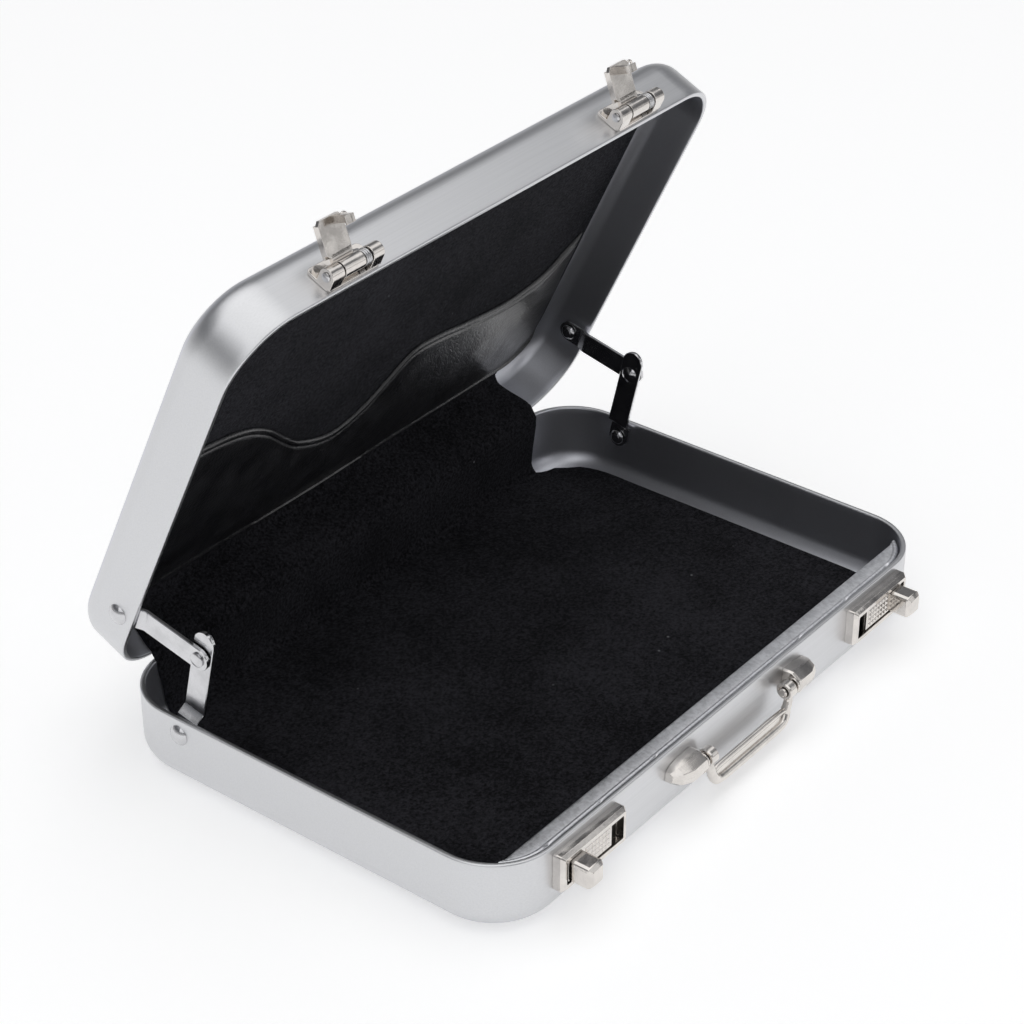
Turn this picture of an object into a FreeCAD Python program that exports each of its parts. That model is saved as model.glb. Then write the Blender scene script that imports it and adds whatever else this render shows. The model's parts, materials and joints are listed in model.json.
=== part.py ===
import FreeCAD, Part
import math
import os
import re

import Sketcher
from FreeCAD import Placement, Rotation, Vector

# Miniature aluminium attache case, in millimetres.
# X runs along the case, the handle is at -Y, the hinge at +Y and +Z is up.
# The origin is the centre of the flat underside. Every lid piece is drawn
# where it lies on the closed case, and then turned open about the hinge line.

doc = FreeCAD.newDocument("attache_case")
sheet = doc.addObject("Spreadsheet::Sheet", "sizes")

DRIVING = {
    "case_length": 100.0,
    "case_depth": 67.5,
    "base_height": 11.0,
    "lid_height": 9.0,
    "wall": 0.8,
    "corner_radius": 9.5,
    "edge_radius": 3.5,
    "rim_radius": 0.25,
    "parting_gap": 0.4,
    "lid_open_angle": 65.0,
    # pressed grooves on the lid, measured from the middle of its depth
    "groove_inner": 13.2,
    "groove_outer": 19.9,
    "groove_radius": 0.75,
    "groove_sink": 0.22,
    # velvet inside
    "velvet": 0.7,
    "rear_gap": 0.2,
    "glue_gap": 0.05,
    "pocket_sheet": 0.5,
    # folding stays
    "pivot_forward": 12.5,
    "pivot_offset": 2.75,
    "arm_width": 3.4,
    "arm_thickness": 0.6,
    "arm_tail": 4.0,
    "arm_gap": 0.2,
    "shank_radius": 0.7,
    "pivot_clearance": 0.12,
    "rivet_head_radius": 1.5,
    "rivet_head_height": 0.75,
    # metal ledge behind the front wall
    "rail_width": 2.9,
    "rail_drop": 0.6,
    "rail_sheet": 0.7,
    "rail_gap": 0.35,
    # latches on the front wall of the base
    "latch_centre": 34.0,
    "latch_length": 13.5,
    "latch_height": 5.6,
    "latch_depth": 1.8,
    "latch_frame": 0.8,
    "latch_floor": 0.35,
    "latch_lip": 0.4,
    "slider_length": 9.1,
    "slider_height": 3.2,
    "knob_width": 3.2,
    "knob_height": 3.4,
    "knob_depth": 3.3,
    # hasps on the front wall of the lid
    "hasp_centre": 29.5,
    "hasp_rise": 1.5,
    "hasp_reach": 1.9,
    "barrel_radius": 1.15,
    "pin_radius": 0.45,
    "mount_length": 9.6,
    "mount_height": 4.2,
    "mount_sheet": 0.5,
    "hasp_sheet": 0.6,
    "hasp_length": 6.4,
    "hasp_open_angle": 135.0,
    # carrying handle
    "post_end": 16.6,
    "post_face": 10.9,
    "post_height": 3.5,
    "post_reach": 3.3,
    "handle_level": 7.4,
    "handle_axis_reach": 1.9,
    "bail_wire": 0.75,
    "bail_drop": 4.0,
    "grip_length": 18.6,
    "grip_height": 3.0,
    "grip_sheet": 1.3,
    "bail_tilt": 6.0,
}


class Size:
    """A length that keeps both its value and the sheet formula behind it."""

    def __init__(self, value, text):
        self.value = value
        self.text = text

    def __add__(self, other):
        other = as_size(other)
        return Size(self.value + other.value, f"({self.text} + {other.text})")

    def __sub__(self, other):
        other = as_size(other)
        return Size(self.value - other.value, f"({self.text} - {other.text})")

    def __mul__(self, factor):
        factor = as_size(factor)
        return Size(self.value * factor.value, f"({self.text} * {factor.text})")

    def __truediv__(self, number):
        return Size(self.value / number, f"({self.text} / {number})")

    def __neg__(self):
        return self * -1

    def __rsub__(self, other):
        return as_size(other) - self

    __radd__ = __add__
    __rmul__ = __mul__


def as_size(item):
    return item if isinstance(item, Size) else Size(item, f"({item})")


def root_sum(first, second):
    """The hypotenuse over two lengths."""
    value = math.hypot(first.value, second.value)
    return Size(value, f"sqrt(({first.text}) ^ 2 + ({second.text}) ^ 2)")


def fill_sheet():
    for row, (alias, value) in enumerate(DRIVING.items(), start=1):
        sheet.set(f"A{row}", alias)
        sheet.set(f"B{row}", str(value))
        sheet.setAlias(f"B{row}", alias)
    doc.recompute()
    return {alias: Size(value, f"sizes.{alias}") for alias, value in DRIVING.items()}


S = fill_sheet()

HALF_LENGTH = S["case_length"] / 2
HALF_DEPTH = S["case_depth"] / 2
BASE_RIM = S["base_height"]
LID_RIM = S["base_height"] + S["parting_gap"]
LID_TOP = LID_RIM + S["lid_height"]
HINGE_LEVEL = S["base_height"] + S["parting_gap"] / 2
FRONT = HALF_DEPTH  # distance of the front face in front of the origin
INNER_X = HALF_LENGTH - S["wall"]
INNER_Y = HALF_DEPTH - S["wall"]
ARM_LENGTH = root_sum(S["pivot_forward"], S["pivot_offset"])
PIVOT_Y = HALF_DEPTH - S["pivot_forward"]

SIDES = {"left": -1, "right": 1}


# ---------------------------------------------------------------- tools


def bind(item, prop, size):
    item.setExpression(prop, as_size(size).text)


def new_body(label):
    body = doc.addObject("PartDesign::Body", label)
    body.Label = label
    return body


def new_sketch(body, role, offset=None):
    """A sketch on one of the body's own origin planes, moved along its normal."""
    plane = next(f for f in body.Origin.OriginFeatures if f.Role == role)
    sketch = body.newObject("Sketcher::SketchObject", f"{body.Name}_sketch")
    sketch.AttachmentSupport = [(plane, "")]
    sketch.MapMode = "FlatFace"
    if offset is not None:
        bind(sketch, "AttachmentOffset.Base.z", offset)
    return sketch


def hold(sketch, kind, geometry, point, size):
    """Keeps a point at a distance from the sketch's origin."""
    size = as_size(size)
    index = sketch.addConstraint(
        Sketcher.Constraint(kind, -1, 1, geometry, point, size.value)
    )
    bind(sketch, f"Constraints[{index}]", size)


def outline(sketch, points):
    """A closed outline of straight edges through the given corners."""
    spots = [(as_size(x), as_size(y)) for x, y in points]
    count = len(spots)
    lines = []
    for i in range(count):
        start, end = spots[i], spots[(i + 1) % count]
        segment = Part.LineSegment(
            Vector(start[0].value, start[1].value, 0), Vector(end[0].value, end[1].value, 0)
        )
        lines.append(sketch.addGeometry(segment, False))
    for i in range(count):
        sketch.addConstraint(
            Sketcher.Constraint("Coincident", lines[i], 2, lines[(i + 1) % count], 1)
        )
        hold(sketch, "DistanceX", lines[i], 1, spots[i][0])
        hold(sketch, "DistanceY", lines[i], 1, spots[i][1])


def rectangle(sketch, x0, x1, y0, y1):
    outline(sketch, [(x0, y0), (x1, y0), (x1, y1), (x0, y1)])


def circle(sketch, x, y, radius):
    x, y, radius = as_size(x), as_size(y), as_size(radius)
    shape = Part.Circle(Vector(x.value, y.value, 0), Vector(0, 0, 1), radius.value)
    ring = sketch.addGeometry(shape, False)
    hold(sketch, "DistanceX", ring, 3, x)
    hold(sketch, "DistanceY", ring, 3, y)
    index = sketch.addConstraint(Sketcher.Constraint("Radius", ring, radius.value))
    bind(sketch, f"Constraints[{index}]", radius)


def rounded(sketch, half_x, half_y, radius):
    """A rectangle about the origin whose four corners are tangent arcs."""
    a, b, r = half_x.value, half_y.value, radius.value
    corners = [(a - r, r - b, -90), (a - r, b - r, 0), (r - a, b - r, 90), (r - a, r - b, 180)]
    arcs = []
    for x, y, start in corners:
        ring = Part.Circle(Vector(x, y, 0), Vector(0, 0, 1), r)
        arc = Part.ArcOfCircle(ring, math.radians(start), math.radians(start + 90))
        arcs.append(sketch.addGeometry(arc, False))
    ends = [((r - a, -b), (a - r, -b)), ((a, r - b), (a, b - r))]
    ends += [((a - r, b), (r - a, b)), ((-a, b - r), (-a, r - b))]
    lines = []
    for start, end in ends:
        segment = Part.LineSegment(Vector(*start, 0), Vector(*end, 0))
        lines.append(sketch.addGeometry(segment, False))
    for i in range(4):
        sketch.addConstraint(Sketcher.Constraint("Tangent", lines[i], 2, arcs[i], 1))
        sketch.addConstraint(Sketcher.Constraint("Tangent", arcs[i], 2, lines[(i + 1) % 4], 1))
    sketch.addConstraint(Sketcher.Constraint("Horizontal", lines[0]))
    sketch.addConstraint(Sketcher.Constraint("Vertical", lines[1]))
    for i in (0, 1, 3):
        index = sketch.addConstraint(Sketcher.Constraint("Radius", arcs[i], r))
        bind(sketch, f"Constraints[{index}]", radius)
    hold(sketch, "DistanceX", arcs[0], 3, half_x - radius)
    hold(sketch, "DistanceY", arcs[0], 3, radius - half_y)
    hold(sketch, "DistanceX", arcs[2], 3, radius - half_x)
    hold(sketch, "DistanceY", arcs[2], 3, half_y - radius)


def pad(body, sketch, length, midplane=False):
    feature = body.newObject("PartDesign::Pad", f"{body.Name}_pad")
    feature.Profile = sketch
    bind(feature, "Length", length)
    feature.SideType = "Symmetric" if midplane else "One side"
    doc.recompute()
    return feature


def pocket(body, sketch, length=None, upward=False, midplane=False):
    """Cuts away, and makes sure that the cut meets the solid."""
    before = body.Shape.Volume
    feature = body.newObject("PartDesign::Pocket", f"{body.Name}_pocket")
    feature.Profile = sketch
    if length is None:
        feature.Type = "ThroughAll"
    else:
        bind(feature, "Length", length)
    feature.Reversed = upward
    feature.SideType = "Symmetric" if midplane else "One side"
    doc.recompute()
    if body.Shape.Volume > before - 1e-4:
        raise ValueError(f"the cut {feature.Name} removes nothing")
    return feature


def edges(feature, wanted):
    found = enumerate(feature.Shape.Edges, start=1)
    return [f"Edge{i}" for i, edge in found if wanted(edge)]


def faces(feature, wanted):
    found = enumerate(feature.Shape.Faces, start=1)
    return [f"Face{i}" for i, face in found if wanted(face)]


def soften(body, feature, wanted, radius, kind="Fillet"):
    """Rounds, or chamfers, the chosen edges of the newest feature."""
    new = body.newObject(f"PartDesign::{kind}", f"{body.Name}_{kind.lower()}")
    new.Base = (feature, edges(feature, wanted))
    bind(new, "Radius" if kind == "Fillet" else "Size", radius)
    doc.recompute()
    if new.Shape.isNull():
        raise ValueError(f"{new.Name} has no shape")
    return new


def at_level(level):
    """Edges or faces that lie wholly at one height."""
    return lambda e: max(abs(e.BoundBox.ZMin - level), abs(e.BoundBox.ZMax - level)) < 1e-4


def at_front(reach):
    """Edges that lie wholly in one plane in front of the case."""
    return lambda e: max(abs(e.BoundBox.YMin + reach), abs(e.BoundBox.YMax + reach)) < 1e-4


def primitive(kind, name, **sizes):
    item = doc.addObject(f"Part::{kind}", name)
    for prop, size in sizes.items():
        bind(item, prop, size)
    return item


def place(item, x, y, z, rotation=None):
    if rotation is not None:
        item.Placement = Placement(Vector(0, 0, 0), rotation)
    for axis, size in zip("xyz", (x, y, z)):
        bind(item, f"Placement.Base.{axis}", size)
    return item


ALONG_X = Rotation(Vector(0, 1, 0), 90)
ALONG_FRONT = Rotation(Vector(1, 0, 0), 90)
TOWARD_BACK = Rotation(Vector(1, 0, 0), -90)


def rod_x(name, x0, length, y, z, radius):
    rod = primitive("Cylinder", name, Radius=radius, Height=length)
    return place(rod, x0, y, z, ALONG_X)


def block(name, x0, y0, z0, dx, dy, dz):
    return place(primitive("Box", name, Length=dx, Width=dy, Height=dz), x0, y0, z0)


def joined(label, pieces):
    """Overlapping pieces made one solid, or separate ones kept as a group."""
    whole = doc.addObject("Part::MultiFuse", label)
    whole.Shapes = pieces
    whole.Label = label
    return whole


def cut(label, base, tool):
    result = doc.addObject("Part::Cut", label)
    result.Base, result.Tool = base, tool
    result.Label = label
    return result


def ordered(first, second):
    """Two sizes, the smaller first."""
    return (first, second) if first.value < second.value else (second, first)


LID_TURN = Placement(
    Vector(0, 0, 0),
    Rotation(Vector(1, 0, 0), -S["lid_open_angle"].value),
    Vector(0, HALF_DEPTH.value, HINGE_LEVEL.value),
)
STAY_ANGLE = math.degrees(math.atan2(S["pivot_offset"].value, S["pivot_forward"].value))


# ---------------------------------------------------------------- shells


def pivot_holes(body, level):
    """The two rivet holes, through both side walls in one cut."""
    sketch = new_sketch(body, "YZ_Plane")
    circle(sketch, PIVOT_Y, level, S["shank_radius"])
    return pocket(body, sketch, S["case_length"] * 2, midplane=True)


def shell(label, rim, far, level):
    """A pressed tray: a rounded block, softened at its far face and hollowed."""
    body = new_body(label)
    opens_up = rim.value > far.value
    low = far if opens_up else rim
    height = rim - far if opens_up else far - rim
    sketch = new_sketch(body, "XY_Plane", low)
    rounded(sketch, HALF_LENGTH, HALF_DEPTH, S["corner_radius"])
    solid = pad(body, sketch, height)
    soft = soften(body, solid, at_level(far.value), S["edge_radius"])
    hollow = body.newObject("PartDesign::Thickness", f"{label}_hollow")
    hollow.Base = (soft, faces(soft, at_level(rim.value)))
    bind(hollow, "Value", S["wall"])
    hollow.Reversed = True
    doc.recompute()
    soften(body, hollow, at_level(rim.value), S["rim_radius"])
    pivot_holes(body, level)
    return body


def front_holes(body, spots, level, radius):
    sketch = new_sketch(body, "XZ_Plane", FRONT + 1)
    for x in spots:
        circle(sketch, x, level, radius)
    pocket(body, sketch, S["wall"] + 1.5)


LATCH_RIVET_LEVEL = BASE_RIM - 1 - S["latch_height"] / 2 - 1.1
LATCH_RIVETS = [S["latch_centre"] * side + spread for side in (-1, 1) for spread in (-2, 2)]
HANDLE_RIVETS = [S["post_face"] * side + 2.2 * side for side in (-1, 1)]
HASP_RIVET_LEVEL = LID_RIM + S["hasp_rise"] + 1.9
HASP_RIVETS = [S["hasp_centre"] * side + spread for side in (-1, 1) for spread in (-3.6, 3.6)]
SMALL_SHANK = S["shank_radius"] - 0.2


def base_shell():
    body = shell("base_shell", BASE_RIM, as_size(0), HINGE_LEVEL - S["pivot_offset"])
    front_holes(body, LATCH_RIVETS, LATCH_RIVET_LEVEL, SMALL_SHANK)
    front_holes(body, HANDLE_RIVETS, S["handle_level"], S["shank_radius"])


def lid_shell():
    body = shell("lid_shell", LID_RIM, LID_TOP, HINGE_LEVEL + S["pivot_offset"])
    front_holes(body, HASP_RIVETS, HASP_RIVET_LEVEL, SMALL_SHANK)
    sketch = new_sketch(body, "YZ_Plane")
    level = LID_TOP + S["groove_radius"] - S["groove_sink"]
    for offset in (S["groove_inner"], S["groove_outer"]):
        for side in (-1, 1):
            circle(sketch, offset * side, level, S["groove_radius"])
    pocket(body, sketch, S["case_length"] * 2, midplane=True)
    body.Placement = LID_TURN


def linings():
    """Velvet glued to the floor and the rear wall of each half."""
    glue, thick = S["glue_gap"], S["velvet"]
    bend = S["edge_radius"] - S["wall"]
    rear = INNER_Y - S["rear_gap"]
    width = (HALF_LENGTH - S["corner_radius"]) * 2
    halves = {
        "base_lining": (S["wall"], BASE_RIM, 1),
        "lid_lining": (LID_TOP - S["wall"], LID_RIM, -1),
    }
    for label, (panel, rim, up) in halves.items():
        body = new_body(label)
        under = panel + glue * up
        over = under + thick * up
        low, high = ordered(under, over)
        sketch = new_sketch(body, "XY_Plane", low)
        inset = bend - 0.3
        corner = S["corner_radius"] - S["wall"] - inset
        rounded(sketch, INNER_X - inset, INNER_Y - inset, corner)
        panel_pad = pad(body, sketch, high - low)
        if up > 0:
            behind_rail = S["rail_width"] + S["rail_gap"] + 0.1 - INNER_Y
            sketch = new_sketch(body, "XY_Plane", high + 1)
            rectangle(sketch, -HALF_LENGTH, HALF_LENGTH, -HALF_DEPTH, behind_rail)
            panel_pad = pocket(body, sketch)
        soften(body, panel_pad, at_level(under.value), thick - 0.05)
        sketch = new_sketch(body, "YZ_Plane")
        start = rear - bend - 1
        knee = panel + bend * up
        outline(
            sketch,
            [
                (start, under + 0.1 * up),
                (rear - bend + 0.4, under + 0.1 * up),
                (rear - bend * 0.22, panel + bend * 0.42 * up),
                (rear, knee + 0.3 * up),
                (rear, rim - 0.1 * up),
                (rear - thick, rim - 0.1 * up),
                (rear - thick, knee + 0.4 * up),
                (rear - bend + 0.1, over),
                (start, over),
            ],
        )
        pad(body, sketch, width, midplane=True)
        if up < 0:
            body.Placement = LID_TURN


def front_rail():
    """A folded metal ledge that hides the backs of the latches."""
    body = new_body("front_rail")
    top = BASE_RIM - S["rail_drop"]
    edge = S["rail_width"] + S["rail_gap"] - INNER_Y
    sketch = new_sketch(body, "XY_Plane", top - S["rail_sheet"])
    inset = S["rail_gap"]
    rounded(sketch, INNER_X - inset, INNER_Y - inset, S["corner_radius"] - S["wall"] - inset)
    pad(body, sketch, S["rail_sheet"])
    sketch = new_sketch(body, "XY_Plane", top + 1)
    rectangle(sketch, -HALF_LENGTH, HALF_LENGTH, edge, HALF_DEPTH)
    plate = pocket(body, sketch)
    soften(body, plate, at_level(top.value), 0.3)
    foot = S["wall"] + S["glue_gap"]
    sketch = new_sketch(body, "XY_Plane", foot)
    half = INNER_X - 4.9
    rectangle(sketch, -half, half, edge - 0.6, edge)
    pad(body, sketch, top - 0.35 - foot)


# Points of the pocket's wavy upper edge: share of the half length, and the
# distance from the rear wall.
POCKET_EDGE = [
    (-1.0, 33.0),
    (-0.72, 32.2),
    (-0.46, 27.0),
    (-0.30, 19.5),
    (-0.10, 15.4),
    (0.08, 19.5),
    (0.22, 24.8),
    (0.60, 22.8),
    (0.82, 25.5),
    (1.0, 31.0),
]


def card_pocket():
    """A leatherette pocket over the lid lining, with a wavy free edge."""
    half = INNER_X.value - 2.6
    rear = INNER_Y.value - 3.2
    clip = 6.4
    top = LID_TOP.value - DRIVING["wall"] - DRIVING["glue_gap"] - DRIVING["velvet"] - 0.15
    spots = [Vector(x * half, INNER_Y.value - reach, top) for x, reach in POCKET_EDGE]
    curve = Part.BSplineCurve()
    curve.interpolate(spots)
    back = [(half, rear - clip), (half - clip, rear), (clip - half, rear), (-half, rear - clip)]
    corners = [spots[-1]] + [Vector(x, y, top) for x, y in back] + [spots[0]]
    sides = [Part.makeLine(a, b) for a, b in zip(corners, corners[1:])]
    face = Part.Face(Part.Wire([curve.toShape()] + sides))
    item = doc.addObject("Part::Feature", "card_pocket")
    item.Label = "card_pocket"
    item.Shape = face.extrude(Vector(0, 0, -DRIVING["pocket_sheet"]))
    item.Placement = LID_TURN


# ---------------------------------------------------------------- stays

# Distances from the middle of the case to the stays' layers, at each side.
WALL_LAYER = INNER_X - S["arm_gap"] * 2
OUTER_LAYER = WALL_LAYER - S["arm_gap"] * 2.5
INNER_LAYER = OUTER_LAYER - S["arm_thickness"] - S["arm_gap"]


def stay(label, side, layer, tail, turn, pivot):
    """A flat strip along -Y, stepped away from the wall beside its wall end."""
    body = new_body(label)
    width, thick = S["arm_width"], S["arm_thickness"]
    end = ARM_LENGTH + tail
    near, far = WALL_LAYER, layer
    sketch = new_sketch(body, "XY_Plane")
    outline(
        sketch,
        [
            (near * side, width / 2),
            (near * side, -2.1),
            (far * side, -3.4),
            (far * side, -end),
            ((far - thick) * side, -end),
            ((far - thick) * side, -3.4),
            ((near - thick) * side, -2.1),
            ((near - thick) * side, width / 2),
        ],
    )
    strip = pad(body, sketch, width, midplane=True)
    long_y = (width.value / 2, -end.value)
    ends = lambda e: e.BoundBox.YLength < 1e-4 and e.BoundBox.ZLength < 1e-4 and any(
        abs(e.BoundBox.YMin - y) < 1e-4 for y in long_y
    )
    soften(body, strip, ends, width / 2 - 0.02)
    sketch = new_sketch(body, "YZ_Plane")
    loose = S["shank_radius"] + S["pivot_clearance"]
    circle(sketch, as_size(0), as_size(0), loose)
    circle(sketch, -ARM_LENGTH, as_size(0), S["shank_radius"] if tail.value > 2 else loose)
    pocket(body, sketch, S["case_length"] * 2, midplane=True)
    body.Placement = Placement(pivot, Rotation(Vector(1, 0, 0), turn))
    return body


def wall_rivet(label, side, level, pose):
    """Domed head outside, shank through the wall, small head over the arm."""
    head, shank = S["rivet_head_radius"], S["shank_radius"]
    tip = WALL_LAYER - S["arm_thickness"] - S["arm_gap"]
    rise = S["rivet_head_height"]
    round_radius = Size(
        (head.value**2 + rise.value**2) / (2 * rise.value),
        f"(({head.text}) ^ 2 + ({rise.text}) ^ 2) / (2 * {rise.text})",
    )
    dome = primitive("Sphere", f"{label}_dome", Radius=round_radius)
    place(dome, (HALF_LENGTH + rise - round_radius) * side, PIVOT_Y, level)
    x0, x1 = ordered(HALF_LENGTH * side, (HALF_LENGTH + 2) * side)
    outside = rod_x(f"{label}_outside", x0, x1 - x0, PIVOT_Y, level, head * 2)
    cap = doc.addObject("Part::Common", f"{label}_cap")
    cap.Base, cap.Tool = dome, outside
    x0, x1 = ordered(HALF_LENGTH * side, tip * side)
    stem = rod_x(f"{label}_stem", x0, x1 - x0, PIVOT_Y, level, shank)
    x0, x1 = ordered(tip * side, (tip - 0.45) * side)
    inner = rod_x(f"{label}_inner", x0, x1 - x0, PIVOT_Y, level, head - 0.3)
    rivet = joined(label, [cap, stem, inner])
    rivet.Placement = pose


def elbow_rivet(label, side, pose):
    """Rides in the lower arm and passes loosely through the upper one."""
    shank = S["shank_radius"]
    outer = OUTER_LAYER + 0.15
    inner = INNER_LAYER - S["arm_thickness"]
    spots = [(outer + 0.3, outer, 1.05), (outer, inner, None), (inner, inner - 0.55, 1.3)]
    pieces = []
    for i, (far, near, radius) in enumerate(spots):
        x0, x1 = ordered(far * side, near * side)
        size = shank if radius is None else as_size(radius)
        pieces.append(rod_x(f"{label}_{i}", x0, x1 - x0, -ARM_LENGTH, as_size(0), size))
    rivet = joined(label, pieces)
    rivet.Placement = pose


def stays():
    turn = STAY_ANGLE + S["lid_open_angle"].value
    base_level = HINGE_LEVEL - S["pivot_offset"]
    lid_level = HINGE_LEVEL + S["pivot_offset"]
    base_pivot = Vector(0, PIVOT_Y.value, base_level.value)
    lid_pivot = LID_TURN.multVec(Vector(0, PIVOT_Y.value, lid_level.value))
    for name, side in SIDES.items():
        lower = stay(f"stay_lower_{name}", side, INNER_LAYER, S["arm_tail"], -turn, base_pivot)
        stub = S["arm_width"] / 2
        stay(f"stay_upper_{name}", side, OUTER_LAYER, stub, STAY_ANGLE, lid_pivot)
        elbow_rivet(f"elbow_rivet_{name}", side, lower.Placement)
        wall_rivet(f"base_rivet_{name}", side, base_level, Placement())
        wall_rivet(f"lid_rivet_{name}", side, lid_level, LID_TURN)


# ---------------------------------------------------------------- latches

LATCH_LEVEL = BASE_RIM - 1 - S["latch_height"] / 2


def span(centre, side, inner, outer):
    """X limits from two distances towards the nearer end of the case."""
    return ordered((centre + inner) * side, (centre + outer) * side)


def latch_plate(label, side):
    """A tray on the front wall whose lips hold the slider in."""
    body = new_body(label)
    length, height, frame = S["latch_length"], S["latch_height"], S["latch_frame"]
    centre = S["latch_centre"]
    sketch = new_sketch(body, "XZ_Plane", FRONT)
    x0, x1 = span(centre, side, -length / 2, length / 2)
    rectangle(sketch, x0, x1, LATCH_LEVEL - height / 2, LATCH_LEVEL + height / 2)
    tray = pad(body, sketch, S["latch_depth"])
    soften(body, tray, at_front((FRONT + S["latch_depth"]).value), 0.35, "Chamfer")
    reach = length / 2 - frame
    rise = height / 2 - frame - 0.2
    sketch = new_sketch(body, "XZ_Plane", FRONT + S["latch_depth"])
    x0, x1 = span(centre, side, -reach, reach)
    rectangle(sketch, x0, x1, LATCH_LEVEL - rise, LATCH_LEVEL + rise)
    pocket(body, sketch, S["latch_depth"] - S["latch_floor"])
    sketch = new_sketch(body, "XZ_Plane", FRONT + S["latch_depth"] - S["latch_lip"])
    x0, x1 = span(centre, side, -reach - 0.3, reach + 0.3)
    rectangle(sketch, x0, x1, LATCH_LEVEL - rise - 0.5, LATCH_LEVEL + rise + 0.5)
    pocket(body, sketch, S["latch_depth"] - S["latch_lip"] - S["latch_floor"])
    sketch = new_sketch(body, "XZ_Plane", FRONT + S["latch_depth"])
    for spot in LATCH_RIVETS:
        if spot.value * side > 0:
            circle(sketch, spot, LATCH_RIVET_LEVEL, SMALL_SHANK)
    pocket(body, sketch, S["latch_depth"] + 0.5)


def latch_slider(label, side):
    """A flanged plate in the tray, with a block knob at its outer end."""
    body = new_body(label)
    centre = S["latch_centre"]
    outer = S["latch_length"] / 2 - S["latch_frame"] - 0.5
    inner = outer - S["slider_length"]
    half = S["slider_height"] / 2
    sketch = new_sketch(body, "XZ_Plane", FRONT + 0.9)
    x0, x1 = span(centre, side, inner, outer)
    rectangle(sketch, x0, x1, LATCH_LEVEL - half - 0.5, LATCH_LEVEL + half + 0.5)
    pad(body, sketch, as_size(0.35))
    sketch = new_sketch(body, "XZ_Plane", FRONT + 1.2)
    rectangle(sketch, x0, x1, LATCH_LEVEL - half, LATCH_LEVEL + half)
    pad(body, sketch, as_size(0.55))
    sketch = new_sketch(body, "XZ_Plane", FRONT + 1.7)
    x0, x1 = span(centre, side, outer - S["knob_width"], outer)
    tall = S["knob_height"] / 2
    rectangle(sketch, x0, x1, LATCH_LEVEL - tall, LATCH_LEVEL + tall)
    knob = pad(body, sketch, S["knob_depth"])
    soften(body, knob, at_front((FRONT + 1.7 + S["knob_depth"]).value), 0.5)


def latch_spring(label, side):
    """A bowed leaf behind the slider."""
    body = new_body(label)
    centre = S["latch_centre"]
    level = LATCH_LEVEL + 1.0
    sketch = new_sketch(body, "XY_Plane", level)
    x = [(centre + step) * side for step in (4.0, 0.5, -3.0)]
    low, high = -(FRONT + 0.42), -(FRONT + 0.7)
    thick = 0.1
    outline(
        sketch,
        [
            (x[0], low),
            (x[1], high),
            (x[2], low),
            (x[2], low - thick),
            (x[1], high - thick),
            (x[0], low - thick),
        ],
    )
    pad(body, sketch, as_size(0.8))


def front_rivets(label, spots, level, start, head, head_height, shank):
    """Shanks through the front wall, with a head at each end."""
    tail = S["wall"] + 0.1
    pieces = []
    for i, x in enumerate(spots):
        stem = primitive("Cylinder", f"{label}_stem{i}", Radius=shank, Height=tail + start)
        place(stem, x, tail - FRONT, level, ALONG_FRONT)
        front = primitive("Cylinder", f"{label}_head{i}", Radius=head, Height=head_height)
        place(front, x, -(FRONT + start), level, ALONG_FRONT)
        back = primitive("Cylinder", f"{label}_tail{i}", Radius=head, Height=as_size(0.3))
        place(back, x, S["wall"] - FRONT, level, TOWARD_BACK)
        pieces += [stem, front, back]
    return joined(label, pieces)


def latches():
    for name, side in SIDES.items():
        latch_plate(f"latch_plate_{name}", side)
        latch_slider(f"latch_slider_{name}", side)
        latch_spring(f"latch_spring_{name}", side)
    head = SMALL_SHANK + 0.25
    front_rivets(
        "latch_rivets", LATCH_RIVETS, LATCH_RIVET_LEVEL, S["latch_floor"], head, 0.25, SMALL_SHANK
    )


# ---------------------------------------------------------------- hasps

HASP_LEVEL = LID_RIM + S["hasp_rise"]
HASP_Y = -(FRONT + S["hasp_reach"])
# X limits along the barrel from the hasp's centre. Both hasps are the same hand.
LEFT_EAR = (-4.8, -2.6)
RIGHT_EAR = (2.8, 4.8)
KNUCKLE = (-2.4, 1.3)
COIL = (1.45, 2.65)
FLAP = (-3.1, 1.3)
# The hooked stem meets the latch's window, so it is mirrored with the latch.
STEM = (-1.3, -0.6)
TAB = (-0.9, 0.3)
BORE = S["pin_radius"] + 0.1


def along_barrel(side, limits):
    """X limits on the case from two distances to the right of a hasp's centre."""
    centre = S["hasp_centre"] * side
    return centre + limits[0], centre + limits[1]


def barrel(name, side, limits, radius):
    x0, x1 = along_barrel(side, limits)
    return rod_x(name, x0, x1 - x0, HASP_Y, HASP_LEVEL, radius)


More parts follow.
